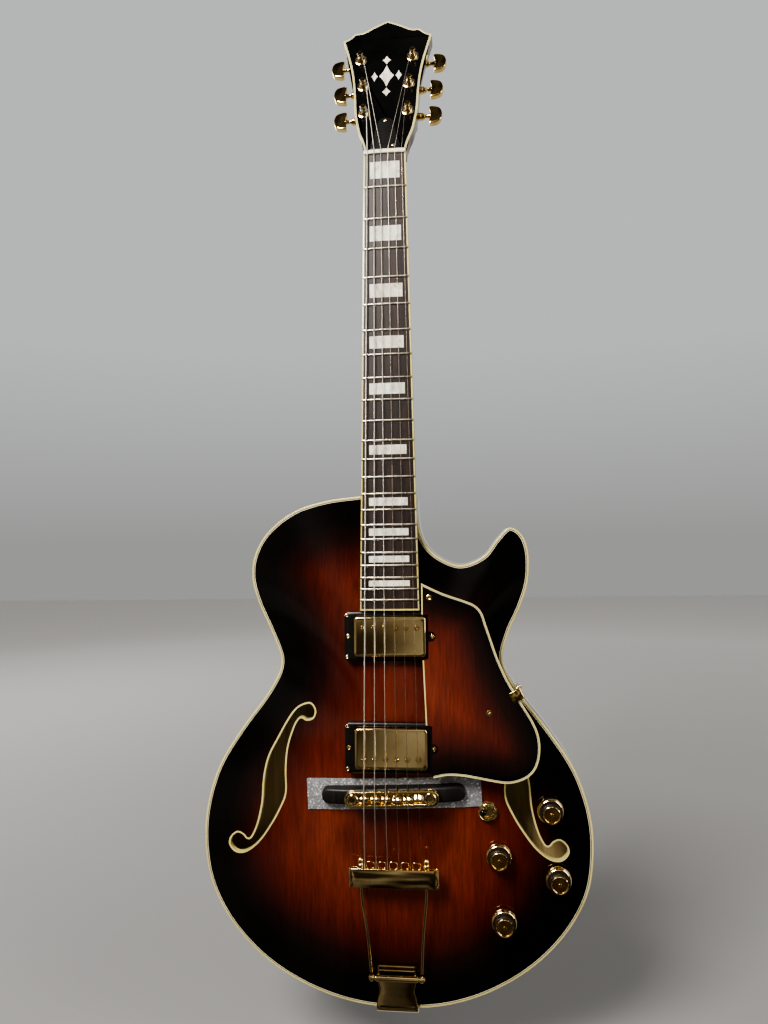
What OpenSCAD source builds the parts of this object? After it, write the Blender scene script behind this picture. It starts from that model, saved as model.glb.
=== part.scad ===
// Single-cutaway hollow-body electric guitar, built as the separate pieces it comes apart into.
// Frame: +X treble side, +Z up towards the headstock, front faces -Y, origin in the neck at the nut line.

/* [Neck] */
// Nut to saddle line, the vibrating string length the frets are laid out for
scale_len = 628; // [620:1:640]
// Board width at the nut
nut_w = 43; // [42:0.5:45]
// Board width over the 20th fret
board_w20 = 57; // [56:0.5:58]
// Length of the fretboard from the nut to its end
board_len = 462; // [460:1:463]
// Thickness of the fretboard
board_t = 6; // [5.5:0.5:6.5]
// Radius of the fretboard's crowned top
board_r = 305; // [250:5:400]
// Lean of the neck back from the body's top plane, degrees
neck_pitch = 2.9; // [2.5:0.1:3.2]
// Distance from the origin forward to the board's top at the nut
board_top = 12; // [11.5:0.5:12.5]
// Lean of the headstock behind the board, degrees
head_tilt = 14; // [12:0.5:15]
// Thickness of the neck at the first fret, board included
neck_t_first = 21; // [20:0.5:22]
// Thickness of the neck at the twelfth fret, board included
neck_t_twelfth = 23.5; // [23:0.5:25]

/* [Body] */
// Height of the rim between the top and back edges
rim_t = 45; // [43:1:47]
// Distance from the origin forward to the edge of the top
rim_front = 15.7; // [15.2:0.1:16.2]
// Rise of the arched top above its edge
top_arch = 13; // [11:0.5:13.5]
// Rise of the arched back above its edge
back_arch = 10; // [8:0.5:12]
// Thickness of the top and back plates
plate_t = 5; // [4.5:0.5:5.5]
// Thickness of the sides
side_t = 2.5; // [2:0.5:3]
// Width of the binding round the edges
bind_w = 2; // [1.5:0.1:2.3]

/* [Hardware] */
// Diameter of the control knobs at the skirt
knob_d = 26; // [24:0.5:27]
// Height of the control knobs
knob_h = 15; // [13:0.5:16]
// Bore radius of the output jack
jack_r = 3.25; // [3.2:0.01:3.3]
// Distance between the two bridge posts
post_gap = 74; // [73:0.5:76]
// Swing of the pickup switch's lever from the middle, degrees
lever_lean = 18; // [14:1:20]

/* [Hidden] */
$fn = 48;

// Curves -----------------------------------------------------------------------------------------

// One stretch of a smooth curve between b and c, with a and d as its neighbours
function curve_at(a, b, c, d, t) =
    0.5 * (2 * b + (c - a) * t + (2 * a - 5 * b + 4 * c - d) * t * t
    + (3 * b - a - 3 * c + d) * t * t * t);

// Smooth open curve through the points, n steps a stretch, its last point included
function open_curve(p, n) = let (m = len(p)) concat(
    [for (i = [0 : m - 2], j = [0 : n - 1])
        curve_at(p[max(i - 1, 0)], p[i], p[i + 1], p[min(i + 2, m - 1)], j / n)],
    [p[m - 1]]);

// Smooth closed curve through the points, n steps a stretch
function closed_curve(p, n) = let (m = len(p))
    [for (i = [0 : m - 1], j = [0 : n - 1])
        curve_at(p[(i + m - 1) % m], p[i], p[(i + 1) % m], p[(i + 2) % m], j / n)];

// Closed outline moved in by d: positive shrinks an outline that runs anticlockwise
function inset(p, d) = let (m = len(p))
    [for (i = [0 : m - 1]) let (v = p[(i + 1) % m] - p[(i + m - 1) % m], l = norm(v))
        p[i] + d * [-v[1], v[0]] / l];

function reversed(p) = [for (i = [len(p) - 1 : -1 : 0]) p[i]];
function mirrored(p) = [for (q = reversed(p)) [-q[0], q[1]]];

// Half an outline that ends on the middle line, joined to its mirror image
function both_halves(half) = concat(half, [for (i = [len(half) - 2 : -1 : 0]) [-half[i][0], half[i][1]]]);

// Outlines are drawn in x and z and stand upright: extruded from front to back along +Y
module upright(outline, y0, y1) {
    translate([0, y1, 0]) rotate([90, 0, 0]) linear_extrude(y1 - y0) polygon(outline);
}

// The same between an outer and an inner outline
module upright_ring(outer, inner, y0, y1) {
    translate([0, y1, 0]) rotate([90, 0, 0]) linear_extrude(y1 - y0) difference() {
        polygon(outer);
        polygon(inner);
    }
}

// Round rod between two points
module rod(a, b, r) {
    v = b - a;
    l = norm(v);
    translate(a) rotate([0, acos(v[2] / l), atan2(v[1], v[0])]) cylinder(h = l, r = r);
}

// Rectangle with round corners, centred
module round_rect(w, h, r) {
    square([w - 2 * r, h], center = true);
    square([w, h - 2 * r], center = true);
    for (x = [-1, 1], y = [-1, 1]) translate([x * (w / 2 - r), y * (h / 2 - r)]) circle(r);
}

// Upright slab with round corners, its front face at y0
module round_slab(w, h, r, y0, y1) {
    translate([0, y1, 0]) rotate([90, 0, 0]) linear_extrude(y1 - y0) round_rect(w, h, r);
}

// A disc or peg standing along Y from y0 to y1
module peg(r, y0, y1) {
    translate([0, y1, 0]) rotate([90, 0, 0]) cylinder(h = y1 - y0, r = r);
}

// Body outline and arch ---------------------------------------------------------------------------

rim_back = rim_t - rim_front;
// Runs anticlockwise seen with x to the right and z up: bass corner, lower bout, horn, treble corner
BODY_POINTS = [
    [-29, -349], [-64, -353], [-97, -363], [-124, -383], [-138, -406], [-141, -430],
    [-134, -456], [-121, -485], [-112, -514], [-125, -543], [-153, -580], [-177, -618],
    [-190, -660], [-192, -700], [-184, -738], [-163, -775], [-128, -809], [-82, -834],
    [-30, -847], [30, -847], [80, -834], [126, -808], [161, -774], [183, -736], [190, -698],
    [188, -659], [175, -618], [151, -580], [123, -543], [108, -514], [114, -486], [126, -460],
    [134, -435], [135, -408], [129, -390], [117, -383], [105, -394], [91, -411], [68, -419],
    [45, -409], [32, -393], [27.5, -373], [27, -352]
];
OUTLINE = open_curve(BODY_POINTS, 3);
PLATE_EDGE = inset(OUTLINE, bind_w);
side_in = inset(OUTLINE, side_t + bind_w);
ARCH_CENTRE = [10, -580];
// Linings widen towards the middle, so that they stay plain inside the narrow horn
lining_w = 6;
lining_in = [for (p = side_in) p + lining_w * (ARCH_CENTRE - p) / norm(ARCH_CENTRE - p)];
ARCH_RINGS = 7;

// Share of the way from the arch's centre out to the edge at a point, 0 to 1
function cross2(a, b) = a[0] * b[1] - a[1] * b[0];
function edge_share(p) = let (d = p - ARCH_CENTRE, m = len(PLATE_EDGE), hits = [
    for (i = [0 : m - 1]) let (
        a = PLATE_EDGE[i] - ARCH_CENTRE,
        e = PLATE_EDGE[(i + 1) % m] - PLATE_EDGE[i],
        den = cross2(d, e))
    if (abs(den) > 1e-9) let (s = cross2(a, e) / den, u = cross2(a, d) / den)
        if (s > 0 && u >= 0 && u <= 1) 1 / s])
    len(hits) == 0 ? 0 : min(hits);

// Rise of the arch as a share of its full height: flat at the edge, round at the centre
function rise(share) = let (s = pow(max(0, 1 - share), 1.6)) 1 - (1 - s) * (1 - s);

// Front surface of the top, and back surface of the back, at a point
function top_at(x, z) = -rim_front - top_arch * rise(edge_share([x, z]));
function back_at(x, z) = rim_back + back_arch * rise(edge_share([x, z]));

// Arched plate: the outside surface at edge_y and arched by arch, inside surface thick further in.
// dir is -1 when the outside faces forward and 1 when it faces back.
module arched_plate(edge_y, arch, dir, thick) {
    m = len(PLATE_EDGE);
    ring_points = [for (r = [0 : ARCH_RINGS - 1]) let (share = 1 - r / ARCH_RINGS)
        for (p = PLATE_EDGE) let (q = ARCH_CENTRE + share * (p - ARCH_CENTRE))
            [q[0], edge_y + dir * arch * rise(share), q[1]]];
    outside = concat(ring_points, [[ARCH_CENTRE[0], edge_y + dir * arch, ARCH_CENTRE[1]]]);
    inside = [for (p = outside) [p[0], p[1] - dir * thick, p[2]]];
    tip = m * ARCH_RINGS;
    count = tip + 1;
    skin = concat(
        [for (r = [0 : ARCH_RINGS - 2], i = [0 : m - 1]) let (j = (i + 1) % m)
            [r * m + i, r * m + j, (r + 1) * m + j]],
        [for (r = [0 : ARCH_RINGS - 2], i = [0 : m - 1]) let (j = (i + 1) % m)
            [r * m + i, (r + 1) * m + j, (r + 1) * m + i]],
        [for (i = [0 : m - 1]) let (j = (i + 1) % m, base = (ARCH_RINGS - 1) * m)
            [base + i, base + j, tip]]);
    wall = [for (i = [0 : m - 1], k = [0, 1]) let (j = (i + 1) % m)
        k == 0 ? [j, i, count + i] : [j, count + i, count + j]];
    under = [for (f = skin) [f[2] + count, f[1] + count, f[0] + count]];
    faces = concat(skin, wall, under);
    polyhedron(points = concat(outside, inside),
        faces = dir < 0 ? [for (f = faces) reversed(f)] : faces);
}

// Neck outline and frames -------------------------------------------------------------------------

module on_neck() {
    translate([0, -board_top, 0]) rotate([-neck_pitch, 0, 0]) children();
}
head_face = 5;
module on_head() {
    on_neck() translate([0, head_face, 0]) rotate([-head_tilt, 0, 0]) children();
}
function from_neck(p) = let (c = cos(neck_pitch), s = sin(neck_pitch))
    [p[0], -board_top + p[1] * c + p[2] * s, -p[1] * s + p[2] * c];
function from_head(p) = let (c = cos(head_tilt), s = sin(head_tilt))
    from_neck([p[0], head_face + p[1] * c + p[2] * s, -p[1] * s + p[2] * c]);
// Neck-frame height of a row-frame y at a row-frame z
function neck_y(y, z) = (y + board_top - z * tan(neck_pitch)) * cos(neck_pitch);

function fret_z(n) = -scale_len * (1 - pow(2, -n / 12));
taper = (board_w20 - nut_w) / 2 / -fret_z(20);
function half_board(z) = nut_w / 2 - taper * z;
function crown_y(x) = board_r - sqrt(board_r * board_r - x * x);
// The crown is a small part of a wide cylinder, so that cylinder needs many sides
crown_sides = 360;
heel_z = -349;

// Board outline between two places, moved in by d on each side
function board_outline(z0, z1, d) = [
    [-half_board(z0) + d, z0], [-half_board(z1) + d, z1],
    [half_board(z1) - d, z1], [half_board(z0) - d, z0]
];

// Everything below the board's crowned top
module under_crown(drop) {
    translate([0, board_r + drop, -board_len - 10])
        cylinder(h = board_len + 40, r = board_r, $fn = crown_sides);
}

// Tongue of the neck that passes over and into the body, oversize at its front when it cuts a pocket
module neck_tongue(front, narrower) {
    intersection() {
        on_neck() upright(board_outline(heel_z + 3, -board_len, narrower), front, 30);
        translate([-60, -80, -500]) cube([120, 80 - rim_front + plate_t, 160]);
    }
}

// Body pieces -------------------------------------------------------------------------------------

inner_front = -rim_front + plate_t;
inner_back = rim_back - plate_t;

// Sound hole on the treble side: the outer edge of its binding
F_POINTS = [
    [85, -553], [96, -558], [105, -569], [116, -588], [126, -607], [131, -628], [133, -652],
    [138, -673], [144, -686], [148, -688], [152, -684], [159, -682], [166, -688], [167, -696],
    [160, -703], [149, -702], [136, -692], [124, -676], [114, -659], [107, -642], [107, -620],
    [105, -598], [99, -579], [94, -570], [90, -569], [86, -571], [79, -569], [76, -562], [79, -555]
];
F_OUTLINE = closed_curve(F_POINTS, 2);
f_bind_w = 1.5;
// The sound hole's points run clockwise, so it is moved in with the other sign
f_hole_turn = -1;

// Pickups: middle of each along the neck, and the height of its pole row from that middle
neck_pickup_z = -487;
bridge_pickup_z = -593;
cover_w = 70;
cover_h = 38.6;
ring_top = 4.5;

// Controls: where each pot's shaft comes through the top
KNOB_AT = [[150, -654], [100, -697], [156, -719], [104, -760]];
SWITCH_AT = [90.5, -655];
pot_hole_r = 4.8;

module back_plate() {
    color("#3a140c") arched_plate(rim_back, back_arch, 1, plate_t);
}

jack_at = [161, -774];
jack_turn = -44;
jack_y = 8;
module on_jack() {
    translate([jack_at[0], jack_y, jack_at[1]]) rotate([0, -jack_turn, 0]) rotate([0, 90, 0]) children();
}

// The neck's heel passes through the rim here
module heel_gap() {
    translate([-40, -60, -351.8]) cube([80, 120, 60]);
}

// Three bent pieces that meet at the neck, the tail and the horn's tip
module sides() {
    seam = 0.1;
    color("#4a1a0e") difference() {
        upright_ring(OUTLINE, side_in, inner_front, inner_back);
        heel_gap();
        translate([-seam / 2, -60, -900]) cube([seam, 120, 600]);
        translate([128, 0, -389]) rotate([0, -36, 0]) cube([20, 120, seam], center = true);
        on_jack() translate([0, 0, -12]) cylinder(h = 20, r = jack_sleeve_r + 0.05);
        translate([0, tail_pin_y, -860]) cylinder(h = 20, r = 2.5);
    }
}

module top_plate() {
    color("#7a2410") difference() {
        arched_plate(-rim_front, top_arch, -1, plate_t);
        for (side = [0, 1]) mirror([side, 0, 0]) upright(F_OUTLINE, -40, 0);
        neck_tongue(-20, 0);
        for (z = [neck_pickup_z, bridge_pickup_z]) translate([0, 0, z]) {
            round_slab(cover_w + 4, cover_h + 2.4, 4, -40, 0);
            round_slab(88, 12, 3, -40, 0);
        }
        for (p = KNOB_AT) translate([p[0], 0, p[1]]) peg(pot_hole_r, -40, 0);
        translate([SWITCH_AT[0], 0, SWITCH_AT[1]]) peg(6.3, -40, 0);
    }
}

module body_bindings() {
    color("#efe6c8") {
        difference() {
            upright_ring(OUTLINE, PLATE_EDGE, -rim_front, inner_front);
            neck_tongue(-20, 0);
            heel_gap();
        }
        difference() {
            upright_ring(OUTLINE, PLATE_EDGE, inner_back, rim_back);
            heel_gap();
        }
    }
}

block_x = 42;
neck_block_z = -436;
tail_block_z = -812;
module block_space(gap) {
    translate([-block_x - gap, -60, neck_block_z - gap]) cube([2 * block_x + 2 * gap, 120, 100]);
    translate([-block_x - gap, -60, -860]) cube([2 * block_x + 2 * gap, 120, 860 + tail_block_z + gap]);
}

module linings() {
    color("#c79a63") difference() {
        union() {
            upright_ring(side_in, lining_in, inner_front, inner_front + 12);
            upright_ring(side_in, lining_in, inner_back - 12, inner_back);
        }
        block_space(0);
        on_jack() translate([0, 0, -40]) cylinder(h = 60, r = 11);
    }
}

module end_blocks() {
    color("#b98a55") difference() {
        intersection() {
            upright(side_in, inner_front, inner_back);
            block_space(0);
        }
        translate([0, tail_pin_y, -870]) cylinder(h = 50, r = 2.5);
    }
}

// Two braces under the top, running beside the pickups
module tone_bars() {
    bar_w = 8;
    steps = 16;
    color("#d2ad78") for (side = [-1, 1]) {
        ends = [[side * 52, -448], [side * 66, -790]];
        path = [for (i = [0 : steps]) ends[0] + (ends[1] - ends[0]) * i / steps];
        // Each section: two points against the plate, two points below it
        pts = [for (i = [0 : steps]) let (p = path[i], depth = 4 + 8 * sin(180 * i / steps))
            for (c = [[-1, 0], [1, 0], [1, 1], [-1, 1]])
                let (x = p[0] + c[0] * bar_w / 2)
                    [x, top_at(x, p[1]) + plate_t + 1 + c[1] * depth, p[1]]];
        loft(pts, 4);
    }
}

// Closed skin over equal sections of n points each, listed one after the other
module loft(pts, n) {
    rows = len(pts) / n;
    walls = [for (r = [0 : rows - 2], i = [0 : n - 1], k = [0, 1]) let (j = (i + 1) % n, a = r * n)
        k == 0 ? [a + i, a + j, a + n + j] : [a + i, a + n + j, a + n + i]];
    first = [for (i = [1 : n - 2]) [0, i + 1, i]];
    last = [for (i = [1 : n - 2]) let (a = (rows - 1) * n) [a, a + i, a + i + 1]];
    faces = concat(walls, first, last);
    a = pts[n] - pts[0];
    b = cross(pts[1] - pts[0], pts[2] - pts[0]);
    polyhedron(points = pts, faces = a * b > 0 ? [for (f = faces) reversed(f)] : faces);
}

// Band that follows an outline and the arch, from the top's face down through the plate
module arch_band(outer, inner, proud, depth) {
    m = len(outer);
    pts = [for (i = [0 : m - 1]) for (k = [[outer[i], 0], [inner[i], 0], [inner[i], 1], [outer[i], 1]])
        [k[0][0], top_at(k[0][0], k[0][1]) - proud + k[1] * depth, k[0][1]]];
    faces = [for (i = [0 : m - 1], c = [0 : 3], k = [0, 1]) let (
            a = 4 * i, b = 4 * ((i + 1) % m), d = (c + 1) % 4)
        k == 0 ? [a + c, b + c, b + d] : [a + c, b + d, a + d]];
    polyhedron(points = pts, faces = faces);
}

module f_hole_bindings() {
    color("#efe6c8") {
        for (hole = [F_OUTLINE, mirrored(F_OUTLINE)])
            arch_band(hole, inset(hole, f_hole_turn * f_bind_w), 0, plate_t);
    }
}

// Neck pieces -------------------------------------------------------------------------------------

rod_y = 12.5;
rod_r = 2.5;
heel_depth = neck_y(rim_back, heel_z) - board_t - 1;

// Depth of the neck behind the board: a slow taper, then the heel sweeps down to the back
function neck_depth(z) = let (
        first = neck_t_first - board_t,
        last = neck_t_twelfth - board_t,
        plain = first + (last - first) * min(1, max(0, z / fret_z(12))),
        sweep = max(0, (-295 - z) / (-295 - heel_z)))
    plain + (heel_depth - plain) * pow(sweep, 2.4);

module neck_shaft() {
    stations = [16, 0, -30, -80, -140, -200, -250, -290, -305, -317, -327, -335, -342, heel_z];
    half_turns = 12;
    color("#5a2a14") difference() {
        union() {
            on_neck() loft([for (z = stations) for (i = [0 : half_turns])
                let (a = 180 * i / half_turns, full = half_board(min(z, 0)) - 0.05)
                    [full * cos(a) * (1 - 0.25 * pow(sin(a), 2) * (z < -300 ? 1 : 0)),
                     board_t + neck_depth(z) * pow(sin(a), 0.8), z]], half_turns + 1);
            neck_tongue(board_t, 0.2);
        }
        on_head() translate([-40, -40, 4]) cube([80, 100, 60]);
        on_neck() translate([0, rod_y, -400]) cylinder(h = 430, r = rod_r + 0.05);
    }
}

HEAD_SIDE = [[21.5, 4], [22.3, 12], [25, 22], [29, 34], [33, 58], [34.5, 82], [36.5, 105],
    [40, 126], [45, 147], [48.5, 161]];
HEAD_TOP = [[48.5, 161], [41.5, 164.5], [35, 170.5], [26.5, 171.5], [14.5, 178.5], [0, 186]];
HEAD_OUTLINE = both_halves(
    concat(open_curve(HEAD_SIDE, 3), [for (i = [1 : 15]) open_curve(HEAD_TOP, 3)[i]]));
head_bind_w = 1.6;
HEAD_FACE = inset(HEAD_OUTLINE, head_bind_w);
head_t = 15;
veneer_t = 1.5;
head_bind_t = 3;

// Tuners: bass side from the nut end up, then treble side from the tip down
POST_AT = [[-23, 57.5], [-24.3, 94], [-28, 131], [28, 131], [24.3, 94], [23, 57.5]];
post_r = 3;
bushing_r = 4.5;

module headstock() {
    color("#5a2a14") on_head() difference() {
        union() {
            upright(HEAD_FACE, veneer_t, head_bind_t + 1);
            upright(HEAD_OUTLINE, head_bind_t, head_t);
        }
        for (p = POST_AT) translate([p[0], 0, p[1]]) peg(bushing_r + 0.05, -1, head_t + 1);
        translate([-5, -1, 0]) cube([10, 10, 30]);
    }
}

module truss_rod() {
    color("silver") on_neck() {
        translate([0, rod_y, -396]) cylinder(h = 404, r = rod_r);
        translate([0, rod_y, 8]) cylinder(h = 9, r = 3.2, $fn = 6);
    }
}

COVER_HALF = [[15.5, 7.5], [14.8, 15], [11.5, 27], [9.4, 37], [6.5, 45], [0, 48.5]];
module truss_rod_cover() {
    color("#2c2b2b") on_head() difference() {
        upright(both_halves(open_curve(COVER_HALF, 4)), -2.2, 0);
        translate([0, 0, 44]) peg(1.2, -3, 1);
    }
}

module headstock_veneer() {
    color("#0d0c0c") on_head() difference() {
        upright(HEAD_FACE, 0, veneer_t);
        for (p = POST_AT) translate([p[0], 0, p[1]]) peg(bushing_r + 0.05, -1, veneer_t + 1);
        translate([-5, -1, 0]) cube([10, 10, 30]);
        head_ornament(-1);
    }
}

module headstock_binding() {
    color("#efe6c8") on_head() upright_ring(HEAD_OUTLINE, HEAD_FACE, 0, head_bind_t);
}

// Plain stacked diamonds: centre x and z, half width, half height
ORNAMENT = [[0, 107, 8, 15], [0, 129, 4.5, 6], [0, 85, 4.5, 6], [-13, 107, 3.5, 7], [13, 107, 3.5, 7]];
inlay_t = 0.8;
module head_ornament(front) {
    for (d = ORNAMENT) translate([d[0], 0, d[1]])
        upright([[d[2], 0], [0, d[3]], [-d[2], 0], [0, -d[3]]], front, inlay_t);
}
module headstock_inlay() {
    color("#e4ddd0") on_head() head_ornament(0);
}

board_bind_w = 1.6;
INLAY_FRETS = [1, 3, 5, 7, 9, 12, 15, 17, 19, 21];
block_t = 2.4;
FRETS = [for (n = [1 : 22]) fret_z(n)];

// Blocks set between the frets, as wide as about 70% of the board
module inlay_blocks(front) {
    for (n = INLAY_FRETS) {
        top = fret_z(n - 1);
        gap = top - fret_z(n);
        w = 1.4 * half_board(top);
        translate([-w / 2, front, top - 0.75 * gap]) cube([w, block_t - front, 0.5 * gap]);
    }
}

module board_blank(d, front) {
    intersection() {
        upright(board_outline(0, -board_len + d, d), front, board_t);
        under_crown(0);
    }
}

module fretboard() {
    color("#2b1a14") on_neck() difference() {
        board_blank(board_bind_w, 0);
        inlay_blocks(-1);
    }
}

module fretboard_binding() {
    color("#efe6c8") on_neck() intersection() {
        upright_ring(board_outline(0, -board_len, 0),
            board_outline(1, -board_len + board_bind_w, board_bind_w), 0, board_t);
        under_crown(0);
    }
}

module frets() {
    fret_h = 1.1;
    fret_w = 2.4;
    color("#c9c9c6") on_neck() intersection() {
        for (z = FRETS) translate([0, board_r, z]) difference() {
            cylinder(h = fret_w, r = board_r + fret_h, center = true, $fn = crown_sides);
            cylinder(h = fret_w + 1, r = board_r, center = true, $fn = crown_sides);
        }
        upright(board_outline(0, -board_len, 0.2), -3, board_t);
    }
}

module block_inlays() {
    color("#e8e2d4") on_neck() intersection() {
        inlay_blocks(0);
        under_crown(0);
    }
}

// Strings: bass first
STRING_R = [0.58, 0.46, 0.34, 0.22, 0.17, 0.13];
nut_h = 1.5;
nut_z = 4.5;
bridge_z = -638;
bridge_turn = 2.2;
saddle_lift = 5.3;
function nut_x(i) = -17.5 + 7 * i;
function saddle_x(i) = -26 + 10.4 * i;
function saddle_z(i) = bridge_z + saddle_x(i) * tan(bridge_turn);
NUT_AT = [for (i = [0 : 5]) from_neck([nut_x(i), crown_y(nut_x(i)) - nut_h - STRING_R[i] + 0.35, 4.2])];
SADDLE_AT = [for (i = [0 : 5]) let (x = saddle_x(i))
    [x, from_neck([x, crown_y(x) - saddle_lift, saddle_z(i)])[1], saddle_z(i)]];
TAIL_AT = [for (i = [0 : 5]) [-27.5 + 11 * i, -38.05, -704.5]];

module nut() {
    color("#efe8d6") on_neck() difference() {
        intersection() {
            translate([-nut_w / 2, -3, 0]) cube([nut_w, board_t + 3, nut_z]);
            under_crown(-nut_h);
        }
        for (i = [0 : 5]) translate([nut_x(i), crown_y(nut_x(i)) - nut_h, -1])
            cylinder(h = nut_z + 2, r = STRING_R[i] + 0.4);
    }
}

// Tuners ------------------------------------------------------------------------------------------

worm_z = 10;
worm_y = 19.5;
case_back = 25;
gear_r = 6.7;
worm_r = 3.1;
shaft_r = 2.2;

// Worm axis of tuner i, running out to the button: x points away from the headstock's middle
module on_worm(i) {
    p = POST_AT[i];
    on_head() translate([p[0], worm_y, p[1] + worm_z]) rotate([0, p[0] < 0 ? 180 : 0, 0])
        rotate([0, 90, 0]) children();
}

module tuner_housings() {
    color("#c9a24a") for (i = [0 : 5]) {
        p = POST_AT[i];
        // Washer and bushing from the front
        on_head() translate([p[0], 0, p[1]]) difference() {
            union() {
                peg(6.6, -1.2, 0);
                peg(bushing_r, -2.2, head_t - 1);
            }
            peg(post_r + 0.05, -3, head_t);
        }
        // Gear case behind
        difference() {
            union() {
                on_head() translate([p[0], 0, p[1] + worm_z / 2])
                    round_slab(18.5, 29, 8, head_t, case_back);
                on_worm(i) cylinder(h = 15, r = 4);
            }
            on_head() translate([p[0], 0, p[1]]) peg(post_r + 0.05, head_t - 1, head_t + 3);
            on_head() translate([p[0], 0, p[1]]) peg(gear_r + 0.3, head_t + 1.5, case_back - 1.5);
            on_worm(i) translate([0, 0, -7]) cylinder(h = 14.5, r = worm_r + 0.3);
            on_worm(i) cylinder(h = 20, r = shaft_r + 0.05);
        }
    }
}

BUTTON_POINTS = [[0, -10.2], [5.5, -11], [11.5, -8], [14, 0], [11.5, 8], [5.5, 11], [0, 10.2], [1.6, 0]];
button_gap = 21.5;
module tuner_button(i) {
    color("#d8b45a") on_worm(i) {
        translate([0, 0, -6]) cylinder(h = 12, r = worm_r);
        cylinder(h = button_gap + 2, r = shaft_r);
        translate([0, 0, button_gap]) rotate([0, -90, 0]) upright(closed_curve(BUTTON_POINTS, 4), -3, 3);
    }
}

module tuner_post(i) {
    p = POST_AT[i];
    color("#d8b45a") on_head() translate([p[0], 0, p[1]]) difference() {
        union() {
            peg(post_r, -3.4, head_t + 3);
            peg(2.5, -8.4, -3);
            peg(post_r, -10.2, -8.2);
            peg(gear_r, worm_y - 2, worm_y + 2);
            // Turns of string wound on the waist
            for (k = [0 : 2]) translate([0, -4.2 - 1.05 * k, 0]) rotate([90, 0, 0])
                rotate_extrude() translate([2.75, 0]) circle(r = 0.5, $fn = 24);
        }
        translate([0, -7.6, -5]) cylinder(h = 10, r = 0.45);
    }
}
module tuner_button_1() tuner_button(0);
module tuner_button_2() tuner_button(1);
module tuner_button_3() tuner_button(2);
module tuner_button_4() tuner_button(3);
module tuner_button_5() tuner_button(4);
module tuner_button_6() tuner_button(5);
module tuner_post_1() tuner_post(0);
module tuner_post_2() tuner_post(1);
module tuner_post_3() tuner_post(2);
module tuner_post_4() tuner_post(3);
module tuner_post_5() tuner_post(4);
module tuner_post_6() tuner_post(5);

// Pickguard and pickups ---------------------------------------------------------------------------

// Bound edge of the pickguard from its bottom corner round to the board, then its inner side
GUARD_EDGE = [[40, -619.5], [53, -617], [67, -617.3], [82, -619.5], [98, -622.3], [110, -623.3],
    [122, -620.5], [131.5, -614.5], [137.5, -605], [140, -592], [139, -579], [134.5, -567],
    [127.5, -555], [119, -541], [110.5, -526], [103, -508.5], [97, -490.5], [92, -475],
    [88.5, -464.5], [82, -457.3], [71, -452.5], [51, -445.5], [30.8, -436]];
GUARD_SIDE = [[30.8, -466], [37, -466], [37, -508], [31.3, -509.5], [33.5, -570.5], [39.5, -571.5],
    [39.5, -616]];
GUARD_CURVE = open_curve(GUARD_EDGE, 3);
GUARD_ALL = concat(GUARD_CURVE, GUARD_SIDE);
guard_bind_w = 2;
GUARD_MOVED = inset(GUARD_ALL, guard_bind_w);
GUARD_INNER = concat([for (i = [0 : len(GUARD_CURVE) - 2]) GUARD_MOVED[i]], [[30.8, -438.3]]);
GUARD_FACE = concat(GUARD_INNER, GUARD_SIDE);
GUARD_STRIP = concat(GUARD_CURVE, reversed(GUARD_INNER));
guard_front = 1;
guard_back = 4;
GUARD_SCREWS = [[38.3, -450], [93.4, -558.7]];
height_screw_x = 41;

module pickguard() {
    color("#6e2513") on_neck() difference() {
        upright(GUARD_FACE, guard_front, guard_back);
        for (z = [neck_pickup_z, bridge_pickup_z]) translate([height_screw_x, 0, z]) peg(5, 0, 5);
        for (p = GUARD_SCREWS) translate([p[0], 0, p[1]]) peg(1.6, 0, 5);
    }
}

module pickguard_binding() {
    color("#efe6c8") on_neck() upright(GUARD_STRIP, guard_front, guard_back);
}

bracket_turn = 27.4;
module pickguard_bracket() {
    color("#d8b45a") translate([122.2, 0, -540]) rotate([0, -bracket_turn, 0]) {
        translate([-9, -40.4, -5]) cube([12.2, 1.4, 10]);
        translate([1.6, -40.4, -5]) cube([1.6, 36.4, 10]);
        translate([-0.2, 0, 0]) rotate([0, 90, 0]) translate([0, -8, 0]) cylinder(h = 1.9, r = 3);
    }
}

ring_w = 90;
ring_h = 47.5;
ring_gap = 0.5;
// Depth of each ring, down to the arch
RING_DEPTH = [6.6, 7.5];
module pickup_rings() {
    color("#15130f") on_neck() for (k = [0, 1]) {
        z = [neck_pickup_z, bridge_pickup_z][k];
        translate([0, 0, z]) difference() {
            round_slab(ring_w, ring_h, 4, ring_top, ring_top + RING_DEPTH[k]);
            round_slab(cover_w + 2 * ring_gap, cover_h + 2 * ring_gap, 4, 0, 20);
            for (x = [-1, 1]) translate([x * height_screw_x, 0, 0]) peg(1.6, 0, 20);
        }
    }
}

cover_top = -1.2;
pickup_t = 17;
pole_gap = 10.45;
// Metal cover over two coils on a base plate, the screw poles showing in one row
module pickup(z, pole_shift) {
    color("#d8b45a") on_neck() translate([0, 0, z]) {
        difference() {
            round_slab(cover_w, cover_h, 3.5, cover_top, cover_top + pickup_t);
            round_slab(cover_w - 1.6, cover_h - 1.6, 2.7, cover_top + 0.8, cover_top + pickup_t + 1);
            for (i = [0 : 5]) translate([(i - 2.5) * pole_gap, 0, pole_shift]) peg(2.4, cover_top - 1, 4);
        }
        for (i = [0 : 5]) translate([(i - 2.5) * pole_gap, 0, pole_shift]) peg(2.3, cover_top - 0.5, 3);
        for (s = [-1, 1]) translate([0, 0, 9 * s]) round_slab(66, 16, 6, 1.5, 13);
        difference() {
            round_slab(86, 8, 3, 14.4, 16);
            for (x = [-1, 1]) translate([x * height_screw_x, 0, 0]) peg(1.75, 10, 20);
        }
        round_slab(66, 34, 3, 13, 15);
    }
}
module neck_pickup() pickup(neck_pickup_z, 8.5);
module bridge_pickup() pickup(bridge_pickup_z, -9);

// Bridge ------------------------------------------------------------------------------------------

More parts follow.
